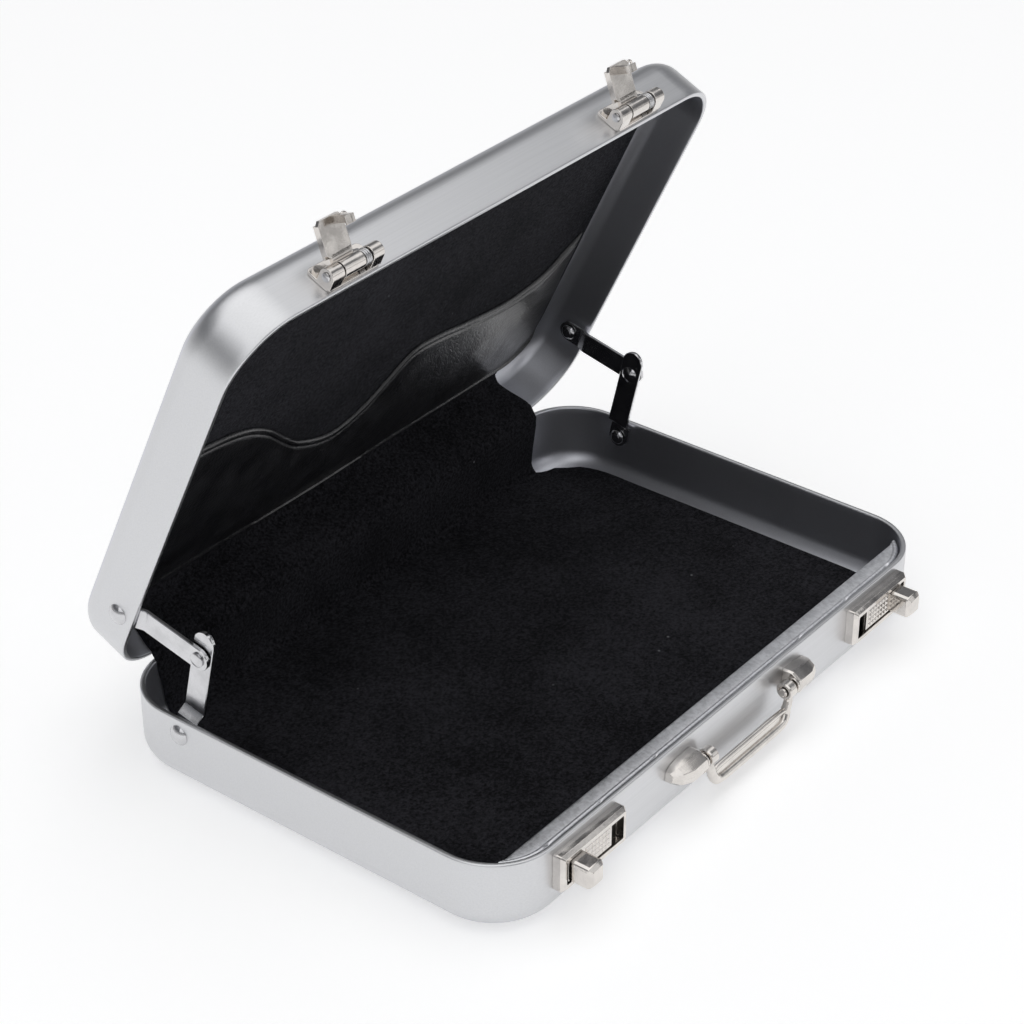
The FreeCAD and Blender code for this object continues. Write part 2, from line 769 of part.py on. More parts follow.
def hasp_mount(label, side):
    """A plate on the lid's front wall with two ears around the pin."""
    x0 = S["hasp_centre"] * side - S["mount_length"] / 2
    foot = HASP_LEVEL - S["hasp_rise"] + 0.3
    back = -(FRONT + S["mount_sheet"])
    plate = block(
        f"{label}_plate", x0, back, foot, S["mount_length"], S["mount_sheet"], S["mount_height"]
    )
    pieces = [plate]
    for key, limits in (("left", LEFT_EAR), ("right", RIGHT_EAR)):
        x0, x1 = along_barrel(side, limits)
        ear = barrel(f"{label}_{key}", side, limits, S["barrel_radius"])
        rise = S["barrel_radius"] - 0.2
        web = block(
            f"{label}_{key}_web", x0, HASP_Y, HASP_LEVEL - rise, x1 - x0, S["hasp_reach"], rise * 2
        )
        pieces += [ear, web]
    solid = joined(f"{label}_solid", pieces)
    tools = [barrel(f"{label}_bore", side, (-6, 6), S["pin_radius"])]
    for i, spot in enumerate(HASP_RIVETS):
        if spot.value * side > 0:
            hole = primitive("Cylinder", f"{label}_hole{i}", Radius=SMALL_SHANK, Height=as_size(3))
            tools.append(place(hole, spot, 1 - FRONT, HASP_RIVET_LEVEL, ALONG_FRONT))
    mount = cut(label, solid, joined(f"{label}_tools", tools))
    mount.Placement = LID_TURN


def hasp(label, side):
    """A knuckle and a plate that carries a hooked stem on its back."""
    sheet_y = HASP_Y - S["barrel_radius"] - 0.05
    thick = S["hasp_sheet"]
    knuckle = barrel(f"{label}_knuckle", side, KNUCKLE, S["barrel_radius"])
    x0, x1 = along_barrel(side, KNUCKLE)
    neck = block(f"{label}_neck", x0, sheet_y, HASP_LEVEL - 1.7, x1 - x0, thick, as_size(1.7))
    x0, x1 = along_barrel(side, FLAP)
    low = HASP_LEVEL - S["hasp_length"]
    plate = block(f"{label}_plate", x0, sheet_y, low, x1 - x0, thick, S["hasp_length"] - 1.5)
    stem_y = -(FRONT + 0.45)
    level = HASP_LEVEL - 6.0
    x0, x1 = span(S["hasp_centre"], side, *STEM)
    deep = stem_y - (sheet_y + thick) + 0.1
    stem = block(f"{label}_stem", x0, sheet_y + thick - 0.1, level, x1 - x0, deep, as_size(1.1))
    x0, x1 = span(S["hasp_centre"], side, *TAB)
    tab = block(f"{label}_tab", x0, stem_y - 0.3, level, x1 - x0, as_size(0.3), as_size(1.1))
    solid = joined(f"{label}_solid", [knuckle, neck, plate, stem, tab])
    bore = barrel(f"{label}_bore", side, (-6, 6), BORE)
    item = cut(label, solid, bore)
    pivot = Vector(0, HASP_Y.value, HASP_LEVEL.value)
    swing = Rotation(Vector(1, 0, 0), -S["hasp_open_angle"].value)
    item.Placement = LID_TURN.multiply(Placement(Vector(0, 0, 0), swing, pivot))


def hasp_pin(label, side):
    """A rod with a peened head outside each ear."""
    pieces = [barrel(f"{label}_rod", side, (-5.0, 5.0), S["pin_radius"])]
    for key, limits in (("near", (-5.1, -4.82)), ("far", (4.82, 5.1))):
        pieces.append(barrel(f"{label}_{key}", side, limits, S["pin_radius"] + 0.2))
    joined(label, pieces).Placement = LID_TURN


def hasp_spring(label, side):
    """Four closed turns of wire around the pin."""
    rings = []
    wire, turns = 0.14, 4
    step = (COIL[1] - COIL[0] - 2 * wire) / (turns - 1)
    for i in range(turns):
        ring = primitive("Torus", f"{label}_turn{i}", Radius1=as_size(0.8), Radius2=as_size(wire))
        x = S["hasp_centre"] * side + COIL[0] + wire + step * i
        rings.append(place(ring, x, HASP_Y, HASP_LEVEL, ALONG_X))
    coil = joined(label, rings)
    coil.Placement = LID_TURN


def hasps():
    for name, side in SIDES.items():
        hasp_mount(f"hasp_mount_{name}", side)
        hasp(f"hasp_{name}", side)
        hasp_pin(f"hasp_pin_{name}", side)
        hasp_spring(f"hasp_spring_{name}", side)
    head = SMALL_SHANK + 0.3
    rivets = front_rivets(
        "hasp_rivets", HASP_RIVETS, HASP_RIVET_LEVEL, S["mount_sheet"], head, 0.35, SMALL_SHANK
    )
    rivets.Placement = LID_TURN


# ---------------------------------------------------------------- handle

HANDLE_Y = -(FRONT + S["handle_axis_reach"])
EYE_INNER, EYE_OUTER = S["post_face"] - 2.3, S["post_face"] - 0.8


def handle_post(label, side):
    """A bullet-shaped post with a stub pin towards the middle."""
    reach = S["post_end"] - S["post_face"]
    level = S["handle_level"]
    nose = primitive(
        "Ellipsoid",
        f"{label}_nose",
        Radius1=S["post_height"] / 2,
        Radius2=reach,
        Radius3=S["post_reach"],
    )
    place(nose, S["post_face"] * side, -FRONT, level)
    x0, x1 = ordered(S["post_face"] * side, S["post_end"] * side)
    room = block(
        f"{label}_room", x0, -(FRONT + 5), level - 5, x1 - x0, as_size(5), as_size(10)
    )
    bullet = doc.addObject("Part::Common", f"{label}_bullet")
    bullet.Base, bullet.Tool = nose, room
    x0, x1 = ordered((EYE_INNER - 0.4) * side, (S["post_face"] + 0.5) * side)
    stub = rod_x(f"{label}_stub", x0, x1 - x0, HANDLE_Y, level, S["bail_wire"] - 0.1)
    solid = joined(f"{label}_solid", [bullet, stub])
    hole = primitive("Cylinder", f"{label}_hole", Radius=S["shank_radius"], Height=as_size(2.3))
    spot = S["post_face"] * side + 2.2 * side
    place(hole, spot, 1 - FRONT, level, ALONG_FRONT)
    cut(label, solid, hole)


def handle_bail():
    """Two eyes on the stub pins, two necks and a long recessed grip."""
    level, wire = S["handle_level"], S["bail_wire"]
    half = S["grip_length"] / 2
    thick = S["grip_sheet"]
    grip_low = level - S["bail_drop"] - S["grip_height"] / 2
    pieces, bores = [], []
    for name, side in SIDES.items():
        x0, x1 = ordered(EYE_INNER * side, EYE_OUTER * side)
        eye = rod_x(f"bail_eye_{name}", x0, x1 - x0, HANDLE_Y, level, wire + 0.55)
        neck = block(
            f"bail_neck_{name}",
            x0,
            HANDLE_Y - thick / 2,
            grip_low + S["grip_height"] / 2,
            x1 - x0,
            thick,
            S["bail_drop"],
        )
        pieces += [eye, neck]
        x0, x1 = ordered((EYE_INNER - 1) * side, (EYE_OUTER + 1) * side)
        bores.append(rod_x(f"bail_bore_{name}", x0, x1 - x0, HANDLE_Y, level, wire + 0.05))
    grip = block(
        "bail_grip", -half, HANDLE_Y - thick / 2, grip_low, half * 2, thick, S["grip_height"]
    )
    end = 2.0
    rise = S["grip_height"] - 1.3
    recess = block(
        "bail_recess",
        end - half,
        HANDLE_Y - thick / 2 - 0.1,
        grip_low + 0.65,
        half * 2 - 2 * end,
        as_size(0.6),
        rise,
    )
    solid = joined("bail_solid", pieces + [grip])
    bail = cut("handle_bail", solid, joined("bail_tools", bores + [recess]))
    pivot = Vector(0, HANDLE_Y.value, level.value)
    swing = Rotation(Vector(1, 0, 0), -S["bail_tilt"].value)
    bail.Placement = Placement(Vector(0, 0, 0), swing, pivot)


def handle():
    for name, side in SIDES.items():
        handle_post(f"handle_post_{name}", side)
    handle_bail()
    tail = S["wall"] + 0.3
    shanks = []
    for i, x in enumerate(HANDLE_RIVETS):
        stem = primitive(
            "Cylinder", f"handle_stem{i}", Radius=S["shank_radius"], Height=tail + 1.0
        )
        place(stem, x, tail - FRONT, S["handle_level"], ALONG_FRONT)
        back = primitive("Cylinder", f"handle_tail{i}", Radius=as_size(1.2), Height=as_size(0.4))
        place(back, x, S["wall"] - FRONT, S["handle_level"], TOWARD_BACK)
        shanks += [stem, back]
    joined("handle_rivets", shanks)


# ---------------------------------------------------------------- build


def build():
    base_shell()
    lid_shell()
    linings()
    front_rail()
    card_pocket()
    stays()
    latches()
    hasps()
    handle()
    doc.recompute()


NODES = """
base_shell base_lining front_rail latch_plate_left latch_plate_right
latch_rivets latch_spring_left latch_spring_right latch_slider_left latch_slider_right
handle_post_left handle_post_right handle_rivets handle_bail
base_rivet_left base_rivet_right stay_lower_left stay_lower_right
elbow_rivet_left elbow_rivet_right stay_upper_left stay_upper_right
lid_shell lid_lining card_pocket lid_rivet_left lid_rivet_right
hasp_mount_left hasp_mount_right hasp_left hasp_right hasp_pin_left hasp_pin_right
hasp_spring_left hasp_spring_right hasp_rivets
""".split()


def check_document():
    for item in doc.Objects:
        if re.search("Invalid|Error", " ".join(item.State)):
            raise ValueError(f"{item.Label} failed: {item.State}")
    for node in NODES:
        shape = doc.getObjectsByLabel(node)[0].Shape
        if shape.isNull() or not shape.isValid() or not shape.Solids:
            raise ValueError(f"{node} is not a sound solid")


def export():
    os.makedirs("parts", exist_ok=True)
    for node in NODES:
        shape = doc.getObjectsByLabel(node)[0].Shape
        shape.exportStep(f"parts/{node}.step")
        box = shape.BoundBox
        print(f"{node}: {len(shape.Solids)} solid(s), {shape.Volume:.2f} mm3, "
              f"x {box.XMin:.2f}..{box.XMax:.2f} y {box.YMin:.2f}..{box.YMax:.2f} "
              f"z {box.ZMin:.2f}..{box.ZMax:.2f}")


build()
check_document()
export()
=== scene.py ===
import json
import math

import bmesh
import bpy
from mathutils import Matrix, Vector, noise


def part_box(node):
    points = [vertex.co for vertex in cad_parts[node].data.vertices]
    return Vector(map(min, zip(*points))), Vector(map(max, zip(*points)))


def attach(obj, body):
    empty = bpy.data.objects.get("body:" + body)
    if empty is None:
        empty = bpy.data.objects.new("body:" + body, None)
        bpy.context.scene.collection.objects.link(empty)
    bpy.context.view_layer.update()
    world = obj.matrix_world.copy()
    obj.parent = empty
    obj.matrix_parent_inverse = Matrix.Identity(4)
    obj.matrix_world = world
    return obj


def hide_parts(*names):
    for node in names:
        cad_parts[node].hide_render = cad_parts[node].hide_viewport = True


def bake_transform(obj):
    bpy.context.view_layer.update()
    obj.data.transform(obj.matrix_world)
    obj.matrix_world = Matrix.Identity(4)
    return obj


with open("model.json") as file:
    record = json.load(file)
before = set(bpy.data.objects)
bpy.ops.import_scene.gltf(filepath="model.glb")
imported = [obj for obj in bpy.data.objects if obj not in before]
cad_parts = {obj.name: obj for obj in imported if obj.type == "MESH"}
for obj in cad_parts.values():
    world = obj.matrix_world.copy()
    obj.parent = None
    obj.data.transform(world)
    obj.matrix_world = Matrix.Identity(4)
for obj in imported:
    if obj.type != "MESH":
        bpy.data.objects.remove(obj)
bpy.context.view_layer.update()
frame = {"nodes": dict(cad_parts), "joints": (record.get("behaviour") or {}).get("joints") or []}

# Miniature aluminium attache case, open at 65 degrees. Lengths are in millimetres
# until a mesh is made. Lid pieces are drawn on the closed case and turned by LID.

MM = 0.001
SIDES = {"left": -1, "right": 1}


def box_mm(node):
    """Two corners of a CAD node's box, in millimetres."""
    low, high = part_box(node)
    return low / MM, high / MM


# ---------------------------------------------------------------- sizes

shell_high = box_mm("base_shell")[1]
HALF_X, HALF_Y, RIM = 50.0, 33.75, shell_high.z
CORNER, EDGE, WALL, RIM_ROUND = 9.5, 3.5, 0.8, 0.25
JOINTS = {joint["name"]: joint for joint in frame["joints"]}
HINGE = Vector(JOINTS["lid_hinge"]["pos_m"]) / MM
OPEN_ANGLE = -math.radians(JOINTS["lid_hinge"]["range_deg"][0])
LID_RIM = 2 * HINGE.z - RIM
LID_HEIGHT = 9.0
LID_TOP = LID_RIM + LID_HEIGHT
LID = (
    Matrix.Translation(HINGE)
    @ Matrix.Rotation(-OPEN_ANGLE, 4, "X")
    @ Matrix.Translation(-HINGE)
)
CLOSED = Matrix.Identity(4)
INNER_X, INNER_Y = HALF_X - WALL, HALF_Y - WALL


# ---------------------------------------------------------------- mesh helpers


class Shape:
    """Vertices and faces that are gathered before a mesh is made."""

    def __init__(self):
        self.points = []
        self.faces = []

    def add(self, points, faces, pose=CLOSED):
        start = len(self.points)
        self.points += [pose @ Vector(p) for p in points]
        self.faces += [[start + i for i in face] for face in faces]
        return self

    def merge(self, other, pose=CLOSED):
        return self.add(other.points, other.faces, pose)


def loft(rings, closed=True, caps=(True, True)):
    """Quads between rings of equal length, with a face over each end."""
    shape = Shape()
    count = len(rings[0])
    points = [p for ring in rings for p in ring]
    faces = []
    last = count if closed else count - 1
    for row in range(len(rings) - 1):
        for i in range(last):
            j = (i + 1) % count
            faces.append([row * count + i, row * count + j, (row + 1) * count + j, (row + 1) * count + i])
    if caps[0]:
        faces.append(list(range(count))[::-1])
    if caps[1]:
        faces.append([(len(rings) - 1) * count + i for i in range(count)])
    return shape.add(points, faces)


def lathe(profile, origin, axis="X", steps=40, sign=1):
    """A turned shape. The profile lists (radius, distance along the axis)."""
    rings = []
    for radius, along in profile:
        ring = []
        for i in range(steps):
            angle = 2 * math.pi * i / steps
            a, b = radius * math.cos(angle), radius * math.sin(angle)
            spot = {"X": (along * sign, a, b), "Y": (a, along * sign, b), "Z": (a, b, along * sign)}[axis]
            ring.append(Vector(origin) + Vector(spot))
        rings.append(ring)
    return loft(rings)


def prism(outline, low, high, axis="Y", steps=1):
    """A flat outline pushed along an axis from low to high."""
    order = {"X": lambda a, b, w: (w, a, b), "Y": lambda a, b, w: (a, w, b), "Z": lambda a, b, w: (a, b, w)}
    place = order[axis]
    rings = []
    for k in range(steps + 1):
        w = low + (high - low) * k / steps
        rings.append([Vector(place(a, b, w)) for a, b in outline])
    return loft(rings)


def tube(path, radius, steps=12, ends=True):
    """A round wire along a list of points."""
    rings = []
    up = Vector((0.31, 0.22, 0.92))
    for i, point in enumerate(path):
        before, after = path[max(i - 1, 0)], path[min(i + 1, len(path) - 1)]
        along = (Vector(after) - Vector(before)).normalized()
        side = along.cross(up).normalized()
        up = side.cross(along).normalized()
        size = radius[i] if isinstance(radius, (list, tuple)) else radius
        angles = [2 * math.pi * k / steps for k in range(steps)]
        rings.append([Vector(point) + size * (math.cos(a) * side + math.sin(a) * up) for a in angles])
    return loft(rings, caps=(ends, ends))


def rounded_rectangle(x0, x1, y0, y1, radius, steps=6):
    """A rectangle's outline with its corners as arcs."""
    points = []
    corners = ((x1, y1, 0), (x0, y1, 90), (x0, y0, 180), (x1, y0, 270))
    for x, y, start in corners:
        cx = x - radius if x == x1 else x + radius
        cy = y - radius if y == y1 else y + radius
        for i in range(steps + 1):
            a = math.radians(start + 90 * i / steps)
            points.append((cx + radius * math.cos(a), cy + radius * math.sin(a)))
    return points


def build(name, shape, body, material, nodes=(), pose=CLOSED, bevel=0, angle=38, blend=False):
    """Makes the mesh, gives it its finish and hangs it on a body."""
    mesh = bpy.data.meshes.new(name)
    mesh.from_pydata([(pose @ p) * MM for p in shape.points], [], shape.faces)
    work = bmesh.new()
    work.from_mesh(mesh)
    bmesh.ops.remove_doubles(work, verts=work.verts, dist=2e-7)
    bmesh.ops.recalc_face_normals(work, faces=work.faces)
    work.to_mesh(mesh)
    work.free()
    mesh.shade_smooth()
    mesh.set_sharp_from_angle(angle=math.radians(angle))
    item = bpy.data.objects.new(name, mesh)
    bpy.context.scene.collection.objects.link(item)
    mesh.materials.append(material)
    if bevel:
        cut = item.modifiers.new("edges", "BEVEL")
        cut.width = bevel * MM
        cut.segments = 3
        cut.limit_method = "ANGLE"
        cut.angle_limit = math.radians(35)
        cut.harden_normals = True
    if not blend:
        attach(item, body)
    if nodes:
        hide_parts(*nodes)
    return item


def plan(inset, z, corner=CORNER, steps=14):
    """The case's rounded outline, moved inwards by an inset."""
    radius = max(corner - inset, 0.05)
    points = []
    for sx, sy, start in ((1, 1, 0), (-1, 1, 90), (-1, -1, 180), (1, -1, 270)):
        cx, cy = sx * (HALF_X - corner), sy * (HALF_Y - corner)
        for i in range(steps + 1):
            a = math.radians(start + 90 * i / steps)
            points.append(Vector((cx + radius * math.cos(a), cy + radius * math.sin(a), z)))
    return points


# ---------------------------------------------------------------- finishes


def finish(name, colour, metallic, roughness):
    """A new material, its node tree and its main shader."""
    material = bpy.data.materials.new(name)
    material.use_nodes = True
    shader = material.node_tree.nodes["Principled BSDF"]
    shader.inputs["Base Color"].default_value = (*colour, 1)
    shader.inputs["Metallic"].default_value = metallic
    shader.inputs["Roughness"].default_value = roughness
    return material, material.node_tree, shader


def texture(tree, kind, scale, stretch=(1, 1, 1), **settings):
    """A texture in the object's own coordinates, as finely drawn as its scale per metre."""
    place = tree.nodes.new("ShaderNodeTexCoord")
    mapping = tree.nodes.new("ShaderNodeMapping")
    mapping.inputs["Scale"].default_value = [scale * s for s in stretch]
    node = tree.nodes.new(kind)
    node.inputs["Scale"].default_value = 1.0
    for key, value in settings.items():
        if key in node.inputs:
            node.inputs[key].default_value = value
        else:
            setattr(node, key, value)
    tree.links.new(place.outputs["Object"], mapping.inputs["Vector"])
    tree.links.new(mapping.outputs["Vector"], node.inputs["Vector"])
    return node


def spread(tree, source, low, high, from_low=0.0, from_high=1.0):
    """A value taken from one range to another."""
    node = tree.nodes.new("ShaderNodeMapRange")
    node.inputs["From Min"].default_value = from_low
    node.inputs["From Max"].default_value = from_high
    node.inputs["To Min"].default_value = low
    node.inputs["To Max"].default_value = high
    tree.links.new(source, node.inputs["Value"])
    return node.outputs["Result"]


def tint(tree, source, stops):
    """Colours picked along a ramp by a value."""
    ramp = tree.nodes.new("ShaderNodeValToRGB")
    while len(ramp.color_ramp.elements) < len(stops):
        ramp.color_ramp.elements.new(0.5)
    for element, (place, colour) in zip(ramp.color_ramp.elements, stops):
        element.position = place
        element.color = (*colour, 1)
    tree.links.new(source, ramp.inputs["Fac"])
    return ramp.outputs["Color"]


def bump(tree, shader, source, strength, depth, before=None):
    """A bump on the shader, on top of the one before."""
    node = tree.nodes.new("ShaderNodeBump")
    node.inputs["Strength"].default_value = strength
    node.inputs["Distance"].default_value = depth
    tree.links.new(source, node.inputs["Height"])
    if before is not None:
        tree.links.new(before, node.inputs["Normal"])
    tree.links.new(node.outputs["Normal"], shader.inputs["Normal"])
    return node.outputs["Normal"]


def brushed(name, colour, low, high, scratch, run=(45, 5200, 5200), cloud_scale=34.0, shade=0.93):
    """Sheet metal with its grain along the case, and a few faint handling marks."""
    material, tree, shader = finish(name, colour, 1.0, low)
    grain = texture(tree, "ShaderNodeTexNoise", 1.0, run, Detail=4.0, Roughness=0.62)
    cloud = texture(tree, "ShaderNodeTexNoise", cloud_scale, (1, 1.6, 1.6), Detail=3.0)
    mix = tree.nodes.new("ShaderNodeMath")
    mix.operation = "MULTIPLY_ADD"
    mix.inputs[1].default_value = 0.45
    tree.links.new(cloud.outputs["Fac"], mix.inputs[0])
    tree.links.new(grain.outputs["Fac"], mix.inputs[2])
    rough = spread(tree, mix.outputs["Value"], low, high, 0.4, 1.0)
    tree.links.new(rough, shader.inputs["Roughness"])
    dark = [c * shade for c in colour]
    tone = tint(tree, grain.outputs["Fac"], [(0.32, dark), (0.62, colour)])
    tree.links.new(tone, shader.inputs["Base Color"])
    bump(tree, shader, grain.outputs["Fac"], scratch, 0.00003)
    return material


def plated(name, colour, low, high, ripple):
    """Small plated parts: bright, with soft pits and a cloudy film."""
    material, tree, shader = finish(name, colour, 1.0, low)
    cloud = texture(tree, "ShaderNodeTexNoise", 420.0, Detail=4.0, Roughness=0.6)
    rough = spread(tree, cloud.outputs["Fac"], low, high, 0.35, 0.7)
    tree.links.new(rough, shader.inputs["Roughness"])
    dark = [c * 0.86 for c in colour]
    tone = tint(tree, cloud.outputs["Fac"], [(0.35, dark), (0.6, colour)])
    tree.links.new(tone, shader.inputs["Base Color"])
    orange = texture(tree, "ShaderNodeTexNoise", 900.0, Detail=2.0)
    bump(tree, shader, orange.outputs["Fac"], ripple, 0.00006)
    return material


def velvet_cloth():
    """Flocked pile: near black, patchy nap, a weak sheen and sparse lint."""
    material, tree, shader = finish("black_velvet", (0.006, 0.006, 0.007), 0.0, 0.95)
    shader.inputs["Specular IOR Level"].default_value = 0.12
    shader.inputs["Sheen Weight"].default_value = 0.05
    shader.inputs["Sheen Roughness"].default_value = 0.45
    shader.inputs["Sheen Tint"].default_value = (0.75, 0.78, 0.9, 1)
    nap = texture(tree, "ShaderNodeTexNoise", 60.0, Detail=4.0, Roughness=0.6)
    pile = texture(tree, "ShaderNodeTexNoise", 2300.0, Detail=4.0, Roughness=0.75)
    join = tree.nodes.new("ShaderNodeMath")
    join.operation = "MULTIPLY"
    tree.links.new(spread(tree, nap.outputs["Fac"], 0.82, 1.12, 0.3, 0.7), join.inputs[0])
    tree.links.new(pile.outputs["Fac"], join.inputs[1])
    cloth = tint(
        tree,
        join.outputs["Value"],
        [(0.38, (0.0018, 0.0018, 0.0024)), (0.62, (0.028, 0.0275, 0.0325))],
    )
    lint = texture(tree, "ShaderNodeTexVoronoi", 210.0, Randomness=1.0)
    speck = spread(tree, lint.outputs["Distance"], 1.0, 0.0, 0.02, 0.05)
    pick = texture(tree, "ShaderNodeTexNoise", 90.0, Detail=0.0)
    rare = spread(tree, pick.outputs["Fac"], 0.0, 1.0, 0.6, 0.66)
    both = tree.nodes.new("ShaderNodeMath")
    both.operation = "MULTIPLY"
    tree.links.new(speck, both.inputs[0])
    tree.links.new(rare, both.inputs[1])
    blend = tree.nodes.new("ShaderNodeMix")
    blend.data_type = "RGBA"
    blend.inputs["B"].default_value = (0.16, 0.16, 0.17, 1)
    tree.links.new(both.outputs["Value"], blend.inputs["Factor"])
    tree.links.new(cloth, blend.inputs["A"])
    tree.links.new(blend.outputs["Result"], shader.inputs["Base Color"])
    bump(tree, shader, pile.outputs["Fac"], 0.8, 0.0002)
    return material


def leatherette():
    """Grained artificial leather with a semi-gloss skin."""
    material, tree, shader = finish("black_leatherette", (0.011, 0.011, 0.012), 0.0, 0.36)
    shader.inputs["Specular IOR Level"].default_value = 0.6
    shader.inputs["Coat Weight"].default_value = 0.75
    shader.inputs["Coat Roughness"].default_value = 0.26
    cells = texture(tree, "ShaderNodeTexVoronoi", 1500.0, feature="DISTANCE_TO_EDGE", Randomness=1.0)
    ridge = spread(tree, cells.outputs["Distance"], 0.0, 1.0, 0.0, 0.22)
    folds = texture(tree, "ShaderNodeTexNoise", 260.0, Detail=4.0, Roughness=0.6)
    tone = tint(tree, folds.outputs["Fac"], [(0.35, (0.006, 0.006, 0.007)), (0.68, (0.017, 0.017, 0.019))])
    tree.links.new(tone, shader.inputs["Base Color"])
    rough = spread(tree, folds.outputs["Fac"], 0.28, 0.46, 0.35, 0.7)
    tree.links.new(rough, shader.inputs["Roughness"])
    first = bump(tree, shader, ridge, 0.55, 0.00008)
    bump(tree, shader, folds.outputs["Fac"], 0.5, 0.0002, first)
    return material


ALUMINIUM = brushed("brushed_aluminium", (0.68, 0.685, 0.7), 0.3, 0.42, 0.25)
INSIDE = brushed("inner_aluminium", (0.7, 0.71, 0.755), 0.36, 0.46, 0.05)
RAIL = brushed("rail_aluminium", (0.84, 0.85, 0.88), 0.32, 0.54, 0.3, (2300, 1500, 2300), 320.0, 0.78)
NICKEL = plated("nickel_plate", (0.76, 0.725, 0.69), 0.1, 0.26, 0.3)
STEEL = plated("stay_steel", (0.66, 0.66, 0.675), 0.12, 0.26, 0.15)
SPRING = plated("spring_steel", (0.6, 0.6, 0.61), 0.2, 0.34, 0.1)
# Painted shadow: a near-black finish for the plate that stands for the dark hole behind each latch window.
SHADOW = plated("latch_painted_shadow", (0.06, 0.055, 0.05), 0.45, 0.65, 0.2)
VELVET = velvet_cloth()
LEATHER = leatherette()


# ---------------------------------------------------------------- shells


def arc(cx, cy, radius, start, end, steps):
    """Points (inset, height) round a bend, by degrees."""
    angles = [math.radians(start + (end - start) * i / steps) for i in range(steps + 1)]
    return [(cx + radius * math.cos(a), cy + radius * math.sin(a)) for a in angles]


def shell_profile(height):
    """Insets and heights from the outer panel, over the rim and back inside."""
    line = [(EDGE + 1.2, 0.0)]
    line += arc(EDGE, EDGE, EDGE, 270, 180, 12)
    line += [(0.0, EDGE + 0.4), (0.0, height - 1.2)]
    line += arc(RIM_ROUND, height - RIM_ROUND, RIM_ROUND, 180, 90, 4)
    line += arc(WALL - RIM_ROUND, height - RIM_ROUND, RIM_ROUND, 90, 0, 4)
    line += [(WALL, height - 1.2)]
    line += arc(EDGE, EDGE, EDGE - WALL, 180, 270, 9)
    line += [(EDGE + 1.2, WALL)]
    return line


GROOVES = (13.2, 19.9)
GROOVE_RADIUS, GROOVE_SINK = 0.75, 0.22
GROOVE_HALF = math.sqrt(GROOVE_RADIUS**2 - (GROOVE_RADIUS - GROOVE_SINK) ** 2)


def press_grooves(shape):
    """Cuts the lid's panel along each groove and sinks the new points."""
    work = bmesh.new()
    spots = [work.verts.new(p) for p in shape.points]
    for face in shape.faces:
        work.faces.new([spots[i] for i in face])
    offsets = [GROOVE_HALF * t for t in (-1.25, -1, -0.5, 0, 0.5, 1, 1.25)]
    cuts = [sign * groove + offset for sign in (-1, 1) for groove in GROOVES for offset in offsets]
    for y in cuts:
        faces = [f for f in work.faces if f.calc_center_median().z > LID_TOP - 0.7]
        faces += [f for f in work.faces if f not in faces and f.calc_center_median().z > LID_TOP - 0.79]
        around = faces + list({edge for face in faces for edge in face.edges})
        around += list({vert for face in faces for vert in face.verts})
        bmesh.ops.bisect_plane(work, geom=around, dist=1e-5, plane_co=(0, y, 0), plane_no=(0, 1, 0))
    centre = LID_TOP + GROOVE_RADIUS - GROOVE_SINK
    for vert in work.verts:
        off = min(abs(abs(vert.co.y) - g) for g in GROOVES)
        if off < GROOVE_HALF and vert.co.z > LID_TOP - 0.6:
            vert.co.z = min(vert.co.z, centre - math.sqrt(GROOVE_RADIUS**2 - off**2))
    work.verts.index_update()
    result = Shape().add([v.co for v in work.verts], [[v.index for v in f.verts] for f in work.faces])
    work.free()
    return result


def polish_inside(item, height, pose):
    """The faces behind the rim keep the smoother finish of the rolled sheet."""
    item.data.materials.append(INSIDE)
    back = pose.inverted()
    for face in item.data.polygons:
        spot = back @ (face.center / MM)
        dx, dy = abs(spot.x) - (HALF_X - CORNER), abs(spot.y) - (HALF_Y - CORNER)
        reach = math.hypot(max(dx, 0), max(dy, 0)) + min(max(dx, dy), 0)
        if reach < CORNER - WALL + 0.06 and height(spot.z) > WALL - 0.05:
            face.material_index = 1


def shells():
    """The two drawn halves, with grooves in the lid's top and a polished inside."""
    base = loft([plan(inset, z) for inset, z in shell_profile(RIM)])
    item = build("base_tray", base, "base", ALUMINIUM, ["base_shell"], angle=50)
    polish_inside(item, lambda z: z, CLOSED)
    lid = loft([plan(inset, LID_TOP - z) for inset, z in shell_profile(LID_HEIGHT)])
    lid = press_grooves(lid)
    item = build("lid_tray", lid, "lid", ALUMINIUM, ["lid_shell"], LID, angle=50)
    polish_inside(item, lambda z: LID_TOP - z, LID)


# ---------------------------------------------------------------- rail

RAIL_GAP, RAIL_TOP, RAIL_BEAD, RAIL_FLAT = 0.35, RIM - 0.6, 0.42, 0.2
RAIL_EDGE = box_mm("front_rail")[1].y
RAIL_NICKS = (17.0, 29.0, 40.0)


def nick(x):
    """How deep the bead is pinched at a place along the rail."""
    return 0.2 if min(abs(abs(x) - n) for n in RAIL_NICKS) < 0.25 else 0.0


def rail_curve(inset):
    """The rail's outer border at an inset, from its left end to its right end."""
    radius = CORNER - inset
    cx, cy = HALF_X - CORNER, CORNER - HALF_Y
    start = math.asin((RAIL_EDGE - cy) / radius)
    right = []
    for i in range(17):
        a = start + (-math.pi / 2 - start) * i / 16
        right.append((cx + radius * math.cos(a), cy + radius * math.sin(a)))
    marks = {cx * (1 - i / 20) for i in range(1, 21)}
    marks |= {n + off for n in RAIL_NICKS for off in (-0.4, -0.22, 0.0, 0.22, 0.4) if n + off < cx - 0.1}
    straight = [(x, cy - radius) for x in sorted(marks, reverse=True)]
    half = right + straight
    return [(-x, y) for x, y in half] + [(x, y) for x, y in reversed(half[:-1])]


